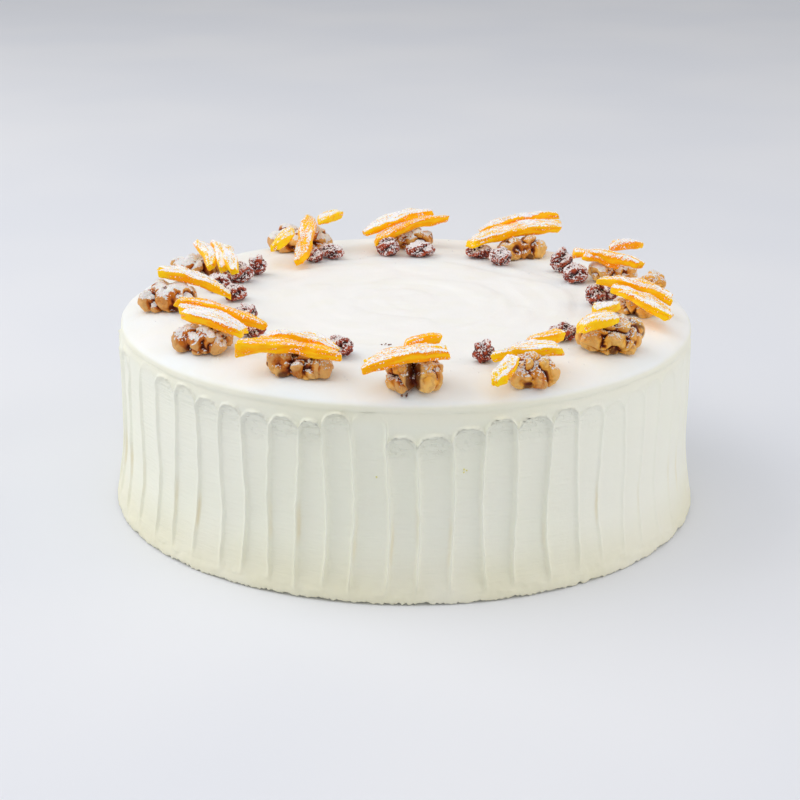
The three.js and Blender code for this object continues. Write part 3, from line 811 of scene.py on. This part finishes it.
def peel_stick(stick, seed, height, unit, splayed):
    """One stick of peel: bent, twisted and uneven, with a crust that swells here and there."""
    x, y, heading, rise, length, width = stick
    half = np.array([length, width, PEEL_THICKNESS]) / 2 * STICK_SWELL
    body = rounded_block(unit, half)
    along = body[:, 0] / half[0]
    across, thick = body[:, 1].copy(), body[:, 2].copy()
    strand = noise(np.stack([body[:, 0] / 16, across / 1.5, thick / 1.5 + seed], 1), seed + 62)
    body[:, 1:] *= 1 + STRAND_RELIEF * strand[:, None]
    narrowing = np.where(along > 0, random_of(seed + 31), random_of(seed + 32)) * 0.5 + 0.05
    taper = 1 - smoothstep(np.abs(along), 0.5, 1) * narrowing
    wave = np.stack([body[:, 0] / 7, np.full(len(body), seed * 1.7), 0 * along], 1)
    body[:, 1] *= taper * (1 + WIDTH_CHANGE * noise(wave, seed + 1))
    body[:, 2] *= (0.4 + 0.6 * taper) * (1 + THICKNESS_CHANGE * noise(wave, seed + 2))
    twist(body, (0.1 + jitter(seed + 81, 0.35)) * along + 0.3 * noise(wave / 1.5, seed + 8))
    body += CRUST_RELIEF * np.stack([noise(body / 1.6 + seed, seed + k) for k in (4, 5, 6)], 1)
    body[:, 2] += CRUST_GRAIN * noise(body / 0.75 + seed, seed + 7)
    if splayed:
        split = smoothstep(-along, 0.4, 1.0)
        body[:, 2] += split * (np.tanh(body[:, 2] * 1.2) * SPLIT_GAPE - 0.5)
    slant = jitter(seed, PEEL_END_SLANT)
    body[:, 0] += slant * along**3 * across / half[1] + 0.5 * jitter(seed + 83, 1) * thick
    sway = jitter(seed + 82, SIDEWAYS_BOW) * (1 - along**2)
    body[:, 1] += sway + SIDEWAYS_WANDER * noise(wave / 1.6, seed + 9)
    bow = PEEL_BOW * smoothstep(length, 8, 34)
    body[:, 2] += bow * (1 - along**2) + UPWARD_WANDER * noise(wave / 1.3, seed + 3)
    spin = turn_about("Z", heading) @ turn_about("Y", -rise)
    return body @ spin.T + [x, y, height], along, across, thick


def peel_bundle(bundle, index, block, material):
    """The sticks of peel that lie together, as one piece, and what their sugar grains need."""
    lift, sugar, yellow, sticks = bundle
    unit, quads = block
    points, faces, marks = [], [], []
    for i, stick in enumerate(sticks):
        seed = index * 10 + i + 501
        body, along, across, thick = peel_stick(stick, seed, CAKE_HEIGHT + lift, unit,
                                                index == SPLAYED_BUNDLE)
        faces.append(quads + i * len(unit))
        points.append(body)
        ends = smoothstep(np.abs(along), 0.55, 1.0) * (0.3 + 0.6 * random_of(seed + 61))
        patch = 0.3 * noise(body / 6, seed + 9)
        tone = np.clip(yellow + ends * 0.7 + patch + jitter(seed + 71, 0.15), 0, 1)
        marks.append([tone, along * stick[4] / 2 + seed * 31, across, thick])
    points, faces = np.concatenate(points), np.concatenate(faces)
    node = "peel_%02d" % (index + 1)
    _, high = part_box(node)
    points[:, 2] += high.z / MM - STICK_SINK - points[:, 2].max()
    marks = np.concatenate(marks, axis=1)
    attributes = dict(zip(("tone", "lengthwise", "crosswise", "heightwise"), marks))
    attributes["sugar"] = np.full(len(points), sugar)
    piece = make_piece("candied_peel_%02d" % (index + 1), points, faces.tolist(), material,
                       attributes)
    stand_for(piece, node)
    triangles = np.concatenate([faces[:, [0, 1, 2]], faces[:, [0, 2, 3]]])
    return points, triangles, sugar * PEEL_GRAINS, PEEL_STEEPEST


# ---------------------------------------------------------------- loose sugar, crumbs and zest

GRAIN = np.array([[1, 0, 0], [-1, 0, 0], [0, 1, 0], [0, -1, 0], [0, 0, 1], [0, 0, -1]]) * 0.5
GRAIN_FACES = np.array([[0, 2, 4], [2, 1, 4], [1, 3, 4], [3, 0, 4], [2, 0, 5], [1, 2, 5],
                        [3, 1, 5], [0, 3, 5]])
GRAINS_PER_AREA = 0.75
GRAIN_SIZES = (0.3, 0.75)
# How far the middles of grains stand off a topping, and off the icing of the top.
GRAIN_LIFT, FALLEN_LIFT = 0.08, 0.1
# Number of grains fallen on the icing, and the radius, spread and limits of their ring.
FALLEN_GRAINS = 420
FALLEN_RADIUS, FALLEN_SPREAD, FALLEN_LIMITS = 98, 14, (50, 119)
# x and y of the clumps of small dark crumbs on the top, and how they scatter along x and y.
CRUMBS = [(-8, -67), (-0.5, -126.5)]
CRUMBS_IN_CLUMP, CRUMB_SPREAD, CRUMB_SIZES = 7, [[1.6], [0.9]], (0.5, 1.4)
# Angle round the wall and height of each fleck of zest, which is made of a few bits.
ZEST = [(-95.2, 54.1), (-79.0, 56.3), (-87.6, 31.9), (24, 47), (95, 55), (160, 36), (61, 30)]
BITS_IN_FLECK, ZEST_SIZES = 3, (0.9, 1.6)
ZEST_SPREAD_ANGLE, ZEST_SPREAD_HEIGHT = 0.2, 0.5
# How far below the floor of a stroke the middles of the bits lie.
ZEST_SINK = 0.2


def random_turns(random, count):
    """Matrices of evenly spread random turns."""
    quaternion = random.normal(size=(count, 4))
    quaternion /= np.linalg.norm(quaternion, axis=1)[:, None]
    w, x, y, z = quaternion.T
    return np.stack([
        np.stack([1 - 2 * (y * y + z * z), 2 * (x * y - z * w), 2 * (x * z + y * w)], 1),
        np.stack([2 * (x * y + z * w), 1 - 2 * (x * x + z * z), 2 * (y * z - x * w)], 1),
        np.stack([2 * (x * z - y * w), 2 * (y * z + x * w), 1 - 2 * (x * x + y * y)], 1)], 1)


def scatter(name, places, sizes, random, material):
    """One mesh of small eight-sided grains, each turned its own way."""
    turns = random_turns(random, len(places))
    shapes = GRAIN[None] * sizes[:, None, None] * random.uniform(0.7, 1.2, (len(places), 6, 1))
    points = np.einsum("nij,nkj->nki", turns, shapes) + places[:, None]
    faces = GRAIN_FACES[None] + (np.arange(len(places)) * 6)[:, None, None]
    piece = make_piece(name, points.reshape(-1, 3), faces.reshape(-1, 3).tolist(), material,
                       smooth=False)
    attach(piece, "root")


def places_on(points, faces, count, random, low_normal):
    """Random points on faces that look up, pushed a little outward."""
    a, b, c = points[faces[:, 0]], points[faces[:, 1]], points[faces[:, 2]]
    normal = np.cross(b - a, c - a)
    area = np.linalg.norm(normal, axis=1)
    normal /= np.maximum(area, 1e-12)[:, None]
    weight = area * smoothstep(normal[:, 2], low_normal, 0.9)
    chosen = random.choice(len(faces), count, p=weight / weight.sum())
    u, v = random.random((2, count))
    flip = u + v > 1
    u, v = np.where(flip, 1 - u, u), np.where(flip, 1 - v, v)
    spot = a[chosen] + u[:, None] * (b - a)[chosen] + v[:, None] * (c - a)[chosen]
    return spot + normal[chosen] * GRAIN_LIFT


def on_top(x, y):
    """Places just above the icing of the top, which slopes down near its edge."""
    slope = edge_slope(np.hypot(x, y)) * (1 - SLOPE_FILLED * topping_swell(x, y))
    return np.stack([x, y, CAKE_HEIGHT - slope + top_relief(x, y) + FALLEN_LIFT], 1)


def sugar_grains(dusted, material):
    """Loose grains of sugar on the toppings and round them."""
    random = np.random.default_rng(7)
    places = []
    for points, faces, amount, low_normal in dusted:
        spread = np.ptp(points, axis=0)
        count = int(amount * spread[0] * spread[1] * GRAINS_PER_AREA)
        places.append(places_on(points, faces, count, random, low_normal))
    angle = random.uniform(0, 2 * math.pi, FALLEN_GRAINS)
    radius = random.normal(FALLEN_RADIUS, FALLEN_SPREAD, FALLEN_GRAINS).clip(*FALLEN_LIMITS)
    places.append(on_top(radius * np.cos(angle), radius * np.sin(angle)))
    places = np.concatenate(places)
    sizes = random.uniform(*GRAIN_SIZES, len(places))
    scatter("sugar_grains", places, sizes, random, material)


def dark_crumbs(material):
    """Clumps of small dark crumbs on the top."""
    random = np.random.default_rng(19)
    middles = np.repeat(np.array(CRUMBS), CRUMBS_IN_CLUMP, axis=0).T
    x, y = middles + random.normal(0, CRUMB_SPREAD, middles.shape)
    sizes = random.uniform(*CRUMB_SIZES, len(x))
    scatter("dark_crumbs", on_top(x, y), sizes, random, material)


def zest_flecks(material):
    """Flecks of yellow zest in the strokes of the wall."""
    random = np.random.default_rng(23)
    angle, z = np.repeat(np.array(ZEST), BITS_IN_FLECK, axis=0).T
    angle = np.radians(angle + random.normal(0, ZEST_SPREAD_ANGLE, len(z)))
    z = z + random.normal(0, ZEST_SPREAD_HEIGHT, len(z))
    depth = (STROKE_DEPTH + STROKE_HOLLOW) * stroke_strength(angle)
    places = on_circle(angle, wall_radius(z) - depth - ZEST_SINK, z)
    sizes = random.uniform(*ZEST_SIZES, len(z))
    scatter("zest_flecks", places, sizes, random, material)


# ---------------------------------------------------------------- shader helpers


def colour(red, green, blue):
    """A colour given in everyday 0 to 255 screen values, as Blender's linear colour."""
    linear = [c / 12.92 if c <= 0.04045 else ((c + 0.055) / 1.055) ** 2.4
              for c in (red / 255, green / 255, blue / 255)]
    return (*linear, 1)


class Graph:
    """A short way to place and join shader nodes."""

    def __init__(self, tree):
        self.tree = tree

    def feed(self, socket, value):
        """Links another node's socket, or sets a plain value."""
        if isinstance(value, bpy.types.NodeSocket):
            self.tree.links.new(value, socket)
        else:
            socket.default_value = value

    def node(self, kind, inputs=None, **settings):
        """A new node with its settings made and its inputs fed."""
        made = self.tree.nodes.new("ShaderNode" + kind)
        for key, value in settings.items():
            setattr(made, key, value)
        for key, value in (inputs or {}).items():
            self.feed(made.inputs[key], value)
        return made

    def math(self, operation, first, second=0.0, clamp=False):
        made = self.node("Math", {0: first, 1: second}, operation=operation, use_clamp=clamp)
        return made.outputs[0]

    def ramp(self, value, low, high, from_value=0.0, to_value=1.0):
        """An eased change from one value to another between two limits."""
        limits = {"Value": value, "From Min": low, "From Max": high, "To Min": from_value,
                  "To Max": to_value}
        return self.node("MapRange", limits, interpolation_type="SMOOTHSTEP").outputs["Result"]

    def mix(self, factor, first, second):
        """The first colour at a factor of 0 and the second at 1."""
        made = self.node("Mix", data_type="RGBA")
        sockets = {socket.identifier: socket for socket in made.inputs}
        self.feed(sockets["Factor_Float"], factor)
        self.feed(sockets["A_Color"], first)
        self.feed(sockets["B_Color"], second)
        return next(s for s in made.outputs if s.identifier == "Result_Color")

    def attribute(self, name):
        return self.node("Attribute", attribute_name=name).outputs["Fac"]

    def place(self):
        return self.node("TexCoord").outputs["Object"]

    def stretched(self, x, y, z):
        """Places with each axis scaled by its own amount."""
        return self.node("Mapping", {"Vector": self.place(), "Scale": (x, y, z)}).outputs[0]

    def noise(self, scale, detail=3.0, roughness=0.55, distortion=0.0, place=None):
        inputs = {"Vector": place or self.place(), "Scale": scale, "Detail": detail,
                  "Roughness": roughness, "Distortion": distortion}
        return self.node("TexNoise", inputs).outputs["Fac"]

    def total(self, *weighted):
        """The sum of values, each given with its weight."""
        result = 0.0
        for value, weight in weighted:
            result = self.math("ADD", result, self.math("MULTIPLY", value, weight))
        return result


def new_material(name):
    """A material, a graph that adds nodes to it, and its shader."""
    material = bpy.data.materials.new(name)
    material.use_nodes = True
    shader = material.node_tree.nodes["Principled BSDF"]
    return material, Graph(material.node_tree), shader


def finish(graph, shader, base, roughness, relief, distance, glow=None):
    """Joins a colour, a roughness and a bump height to the shader."""
    graph.feed(shader.inputs["Base Color"], base)
    graph.feed(shader.inputs["Roughness"], roughness)
    bump = graph.node("Bump", {"Strength": 0.7, "Distance": distance, "Height": relief})
    graph.feed(shader.inputs["Normal"], bump.outputs[0])
    if glow:
        weight, radius, scale = glow
        shader.inputs["Subsurface Weight"].default_value = weight
        shader.inputs["Subsurface Radius"].default_value = radius
        shader.inputs["Subsurface Scale"].default_value = scale


def sugar_dust_group():
    """Sugar that lies on a surface: where it is, and how high its grains stand."""
    tree = bpy.data.node_groups.new("SugarDust", "ShaderNodeTree")
    for name in ("Amount", "Cling", "Patch", "Grain Scale"):
        tree.interface.new_socket(name, in_out="INPUT", socket_type="NodeSocketFloat")
    for name in ("Mask", "Height"):
        tree.interface.new_socket(name, in_out="OUTPUT", socket_type="NodeSocketFloat")
    graph = Graph(tree)
    given = tree.nodes.new("NodeGroupInput").outputs
    result = tree.nodes.new("NodeGroupOutput")
    normal = graph.node("NewGeometry").outputs["Normal"]
    upward = graph.node("SeparateXYZ", {0: normal}).outputs["Z"]
    lying = graph.math("MAXIMUM", graph.ramp(upward, 0.05, 0.82), given["Cling"])
    grain = graph.ramp(graph.noise(given["Grain Scale"], 2.0, 0.7), 0.3, 0.7)
    level = graph.math("MULTIPLY", lying, given["Amount"])
    spread = graph.total((grain, 0.65), (given["Patch"], 0.65))
    edge = graph.math("SUBTRACT", graph.math("ADD", level, 0.12), spread)
    mask = graph.ramp(edge, -0.03, 0.05)
    graph.feed(result.inputs["Mask"], mask)
    graph.feed(result.inputs["Height"], graph.math("MULTIPLY", mask, graph.math("ADD", grain, 0.4)))
    return tree


def sugar_dust(graph, group, amount, cling, patch, grain_scale):
    """Places the sugar group in a material, and gives its mask and height."""
    made = graph.node("Group", node_tree=group)
    for key, value in (("Amount", amount), ("Cling", cling), ("Patch", patch),
                       ("Grain Scale", grain_scale)):
        graph.feed(made.inputs[key], value)
    return made.outputs["Mask"], made.outputs["Height"]


# ---------------------------------------------------------------- materials

SUGAR_WHITE = colour(253, 251, 249)
# Heights, in metres, of the darker, yellower foot, of the two edges of the band of painted shade under
# the rim, and of the change from the wall, painted yellower for its shade, to the whiter top.
DARKER_FOOT = (0.03, 0.0)
SHADE_BAND_FOOT, SHADE_BAND_HEAD = (0.074, 0.081), (0.085, 0.083)
WHITER_TOP = (0.0835, 0.0855)


def icing_material():
    """Cream cheese icing: soft cream, the wall painted yellower than the top for its shade, darker and
    yellower towards the foot, with a band of painted shade under the rim, a painted cool tint round
    the toppings, and faint stains beside ridges.
    """
    material, graph, shader = new_material("cream_cheese_icing")
    height = graph.node("SeparateXYZ", {0: graph.place()}).outputs["Z"]
    mottle, blotch = graph.noise(55.0, 4.0), graph.noise(14.0, 2.0)
    # The wall is painted yellower than the top, standing in for the yellow tint of its shade.
    upper = graph.ramp(height, *WHITER_TOP)
    base = graph.mix(upper, colour(247, 248, 232), colour(251, 250, 248))
    # Painted shade: a yellower band under the lip of the rolled rim, where the lip shades the wall.
    band = graph.math("MULTIPLY", graph.ramp(height, *SHADE_BAND_FOOT), graph.ramp(height, *SHADE_BAND_HEAD))
    base = graph.mix(graph.math("MULTIPLY", band, 0.5), base, colour(243, 240, 216))
    # Painted cool tint on the top round the toppings, cancelling the orange light they bounce onto the
    # icing.
    painted_cool_tint = graph.math("MULTIPLY", graph.attribute("painted_cool_tint"), upper)
    base = graph.mix(painted_cool_tint, base, colour(244, 252, 255))
    # Darker and yellower towards the foot.
    base = graph.mix(graph.ramp(height, *DARKER_FOOT, 0.0, 0.9), base, colour(239, 235, 208))
    base = graph.mix(graph.ramp(mottle, 0.4, 0.75, 0.0, 0.3), base, colour(244, 243, 227))
    base = graph.mix(graph.ramp(blotch, 0.4, 0.7, 0.0, 0.25), base, colour(251, 250, 244))
    stain = graph.math("MULTIPLY", graph.attribute("stain"), graph.ramp(mottle, 0.3, 0.6, 0.3, 0.8))
    base = graph.mix(graph.math("MULTIPLY", stain, 0.5, clamp=True), base, colour(230, 204, 134))
    gloss = graph.ramp(graph.noise(120.0, 3.0), 0.3, 0.7, 0.42, 0.56)
    chatter, channel = graph.attribute("chatter"), graph.attribute("channel")
    ripples = graph.noise(1.0, 2.0, 0.5, place=graph.stretched(90.0, 90.0, 900.0))
    pits = graph.ramp(graph.noise(620.0, 1.0), 0.3, 0.44)
    relief = graph.total((graph.noise(900.0, 4.0, 0.6), 0.15), (ripples, 0.15),
                         (graph.math("MULTIPLY", chatter, ripples), 0.9),
                         (graph.math("MULTIPLY", chatter, pits), 0.4),
                         (graph.math("MULTIPLY", channel, ripples), 0.2))
    shader.inputs["Specular IOR Level"].default_value = 0.35
    finish(graph, shader, base, gloss, relief, 0.001, (0.1, (1.0, 0.9, 0.75), 0.0008))
    return material


def walnut_material(dust):
    """Walnut skin: golden tan on the lobes with painted highlight on their crests and painted shade,
    dark brown, in the folds, the cleft and the foot hollow, dusted with sugar.
    """
    material, graph, shader = new_material("walnut_skin")
    relief, tone = graph.attribute("relief"), graph.attribute("tone")
    speckle = graph.noise(700.0, 4.0, 0.65)
    veins = graph.ramp(graph.noise(230.0, 5.0, 0.6, 1.4), 0.46, 0.62)
    base = graph.mix(graph.ramp(tone, 0.15, 0.85), colour(206, 112, 20), colour(255, 186, 72))
    base = graph.mix(graph.math("MULTIPLY", veins, 0.5), base, colour(184, 88, 10))
    # Painted highlight: paler where the skin stands out from its evened-out surface.
    base = graph.mix(graph.ramp(relief, 0.1, 0.6, 0.0, 0.5), base, colour(255, 214, 136))
    base = graph.mix(graph.ramp(speckle, 0.55, 0.8, 0.0, 0.35), base, colour(255, 212, 136))
    # Painted shade: darker brown in the folds and valleys, darkest in the deepest.
    base = graph.mix(graph.ramp(relief, -0.05, -0.55), base, colour(144, 58, 8))
    base = graph.mix(graph.ramp(relief, -0.45, -1.0), base, colour(78, 26, 6))
    # Partly the dark membrane in the middle cleft, partly painted shade in that cleft and in the
    # hollow at the foot.
    membrane_and_hollow_shade = graph.ramp(graph.attribute("skin"), 0.35, 0.9, 0.0, 0.85)
    base = graph.mix(membrane_and_hollow_shade, base, colour(90, 32, 14))
    patch = graph.noise(190.0, 3.0, 0.6)
    amount = graph.math("MULTIPLY", graph.attribute("sugar"), 1.35)
    mask, grains = sugar_dust(graph, dust, amount, 0.08, patch, 1200.0)
    base = graph.mix(mask, base, SUGAR_WHITE)
    gloss = graph.total((mask, 0.3), (1.0, 0.34))
    height = graph.total((speckle, 0.6), (veins, -0.9), (grains, 1.0))
    shader.inputs["Specular IOR Level"].default_value = 0.2
    finish(graph, shader, base, gloss, height, 0.0005, (0.14, (1.0, 0.5, 0.25), 0.0012))
    return material


def raisin_material(dust):
    """Raisin skin: dark burgundy with painted highlight on the crests of its folds and painted shade
    in its creases, thickly speckled with sugar.
    """
    material, graph, shader = new_material("raisin_skin")
    relief, tone = graph.attribute("relief"), graph.attribute("tone")
    speckle = graph.noise(800.0, 3.0, 0.6)
    base = graph.mix(graph.ramp(tone, 0.2, 0.8), colour(96, 22, 14), colour(156, 54, 26))
    # Painted highlight: redder and paler on the crests of the folds.
    base = graph.mix(graph.ramp(relief, 0.2, 0.8, 0.0, 0.6), base, colour(200, 92, 52))
    # Painted shade: nearly black in the creases.
    base = graph.mix(graph.ramp(relief, -0.05, -0.8), base, colour(48, 12, 10))
    patch = graph.ramp(graph.noise(260.0, 2.0, 0.6), 0.25, 0.75, 0.15, 0.85)
    mask, grains = sugar_dust(graph, dust, graph.attribute("sugar"), 0.5, patch, 1050.0)
    base = graph.mix(mask, base, colour(253, 243, 242))
    gloss = graph.total((mask, 0.35), (1.0, 0.35))
    height = graph.total((speckle, 0.3), (grains, 1.0))
    shader.inputs["Specular IOR Level"].default_value = 0.3
    finish(graph, shader, base, gloss, height, 0.0004)
    return material


def peel_material(dust):
    """Candied peel: orange to yellow with a painted glow of its own colour, and a crust of sugar in
    streaks along its top.
    """
    material, graph, shader = new_material("candied_peel")
    stretched = [(graph.attribute("lengthwise"), 0.09), (graph.attribute("crosswise"), 0.55),
                 (graph.attribute("heightwise"), 0.55)]
    scaled = {axis: graph.math("MULTIPLY", *pair) for axis, pair in enumerate(stretched)}
    streak = graph.noise(1.0, 3.0, 0.6, place=graph.node("CombineXYZ", scaled).outputs[0])
    blush = graph.ramp(graph.noise(190.0, 3.0), 0.55, 0.8, 0.0, 0.4)
    base = graph.mix(graph.attribute("tone"), colour(255, 166, 0), colour(255, 212, 16))
    base = graph.mix(graph.ramp(streak, 0.5, 0.62, 0.0, 0.65), base, colour(255, 206, 30))
    base = graph.mix(graph.ramp(streak, 0.5, 0.36, 0.0, 0.8), base, colour(255, 142, 0))
    base = graph.mix(blush, base, colour(252, 140, 0))
    mask, grains = sugar_dust(graph, dust, graph.math("MULTIPLY", graph.attribute("sugar"), 0.95),
                              0.0, graph.ramp(streak, 0.36, 0.66), 1200.0)
    base = graph.mix(mask, base, SUGAR_WHITE)
    # Painted glow: the peel, with its sugar, gives off light of its own colour, though it is no lamp.
    graph.feed(shader.inputs["Emission Color"], base)
    shader.inputs["Emission Strength"].default_value = 0.12
    gloss = graph.total((mask, 0.3), (1.0, 0.36))
    height = graph.total((graph.noise(500.0, 3.0), 0.4), (streak, 1.5), (grains, 1.0))
    shader.inputs["Specular IOR Level"].default_value = 0.12
    finish(graph, shader, base, gloss, height, 0.0004, (0.2, (1.0, 0.4, 0.05), 0.0015))
    return material


def plain_material(name, first, second, scale, roughness):
    """A finish that varies gently between two colours."""
    material, graph, shader = new_material(name)
    base = graph.mix(graph.ramp(graph.noise(scale, 2.0), 0.35, 0.65), first, second)
    finish(graph, shader, base, roughness, graph.noise(scale * 2, 2.0), 0.00005)
    return material


# ---------------------------------------------------------------- the cake

dust = sugar_dust_group()
iced_cake(icing_material())

walnut_skin, raisin_skin, peel_skin = walnut_material(dust), raisin_material(dust), peel_material(dust)
walnut_ball, raisin_ball, stick_block = ball_mesh(6), ball_mesh(5), block_mesh(STICK_CELLS)
dusted = [walnut_half(place, i, walnut_ball, walnut_skin) for i, place in enumerate(WALNUTS)]
dusted += [dried_raisin(place, i, raisin_ball, raisin_skin) for i, place in enumerate(RAISINS)]
dusted += [peel_bundle(bundle, i, stick_block, peel_skin) for i, bundle in enumerate(PEELS)]
sugar_grains(dusted, plain_material("sugar_crystals", colour(252, 251, 252), colour(240, 240, 246),
                                    900.0, 0.25))
dark_crumbs(plain_material("dark_crumb", colour(88, 44, 34), colour(130, 78, 48), 700.0, 0.6))
zest_flecks(plain_material("yellow_zest", colour(232, 226, 130), colour(240, 234, 170), 700.0, 0.5))

# ---------------------------------------------------------------- floor, light and camera

FLOOR_REACH = 6.0
SKY_STRENGTH = 0.48
# What the lights look at.
CAKE_MIDDLE = Vector((0, 0, 0.05))
FOCAL_PIXELS, PICTURE_PIXELS, SENSOR = 1906, 800, 36
CAMERA_DISTANCE, CAMERA_DOWN, CAMERA_ROLL = 889, math.radians(19.28), math.radians(0.504)
CAMERA_AIM = np.array([-2.37, 0, 41.98])
CAMERA_REACH = 50


def pale_floor(material):
    """The pale floor under the cake."""
    corners = [(-1, -1), (1, -1), (1, 1), (-1, 1)]
    mesh = bpy.data.meshes.new("floor")
    mesh.from_pydata([(x * FLOOR_REACH, y * FLOOR_REACH, 0) for x, y in corners], [], [(0, 1, 2, 3)])
    mesh.materials.append(material)
    floor = bpy.data.objects.new("floor", mesh)
    bpy.context.scene.collection.objects.link(floor)


def white_sky():
    """Even white light from all round."""
    world = bpy.data.worlds.new("studio")
    world.use_nodes = True
    background = world.node_tree.nodes["Background"]
    background.inputs["Color"].default_value = (1.0, 1.0, 1.0, 1)
    background.inputs["Strength"].default_value = SKY_STRENGTH
    bpy.context.scene.world = world


def soft_light(name, place, size, power, tint):
    """A square soft light that looks at the middle of the cake."""
    lamp = bpy.data.lights.new(name, "AREA")
    lamp.size, lamp.energy, lamp.color = size, power, tint
    made = bpy.data.objects.new(name, lamp)
    made.location = place
    toward = CAKE_MIDDLE - Vector(place)
    made.rotation_euler = toward.to_track_quat("-Z", "Y").to_euler()
    bpy.context.scene.collection.objects.link(made)


def front_camera():
    """The camera, in front of the cake, looking a little down and rolled by half a degree."""
    backward = np.array([0, -math.cos(CAMERA_DOWN), math.sin(CAMERA_DOWN)])
    level_right = np.array([1.0, 0, 0])
    level_up = np.array([0, math.sin(CAMERA_DOWN), math.cos(CAMERA_DOWN)])
    pose = np.eye(4)
    pose[:3, 0] = math.cos(CAMERA_ROLL) * level_right + math.sin(CAMERA_ROLL) * level_up
    pose[:3, 1] = math.cos(CAMERA_ROLL) * level_up - math.sin(CAMERA_ROLL) * level_right
    pose[:3, 2] = backward
    pose[:3, 3] = (CAMERA_AIM + CAMERA_DISTANCE * backward) * MM
    lens = bpy.data.cameras.new("camera")
    lens.sensor_width = SENSOR
    lens.lens = SENSOR * FOCAL_PIXELS / PICTURE_PIXELS
    lens.clip_end = CAMERA_REACH
    camera = bpy.data.objects.new("camera", lens)
    camera.matrix_world = Matrix(pose.tolist())
    bpy.context.scene.collection.objects.link(camera)
    bpy.context.scene.camera = camera
    bpy.context.scene.view_settings.view_transform = "Standard"


pale_floor(plain_material("pale_floor", colour(228, 231, 239), colour(233, 235, 241), 3.0, 0.6))
white_sky()
soft_light("key", (-1.25, 0.2, 1.1), 1.7, 14.0, (1.0, 0.995, 0.985))
soft_light("overhead", (0, -0.5, 1.9), 2.2, 10.5, (1.0, 0.998, 0.995))
soft_light("fill", (1.7, -0.2, 0.8), 1.5, 8.2, (1.0, 0.955, 0.955))
front_camera()
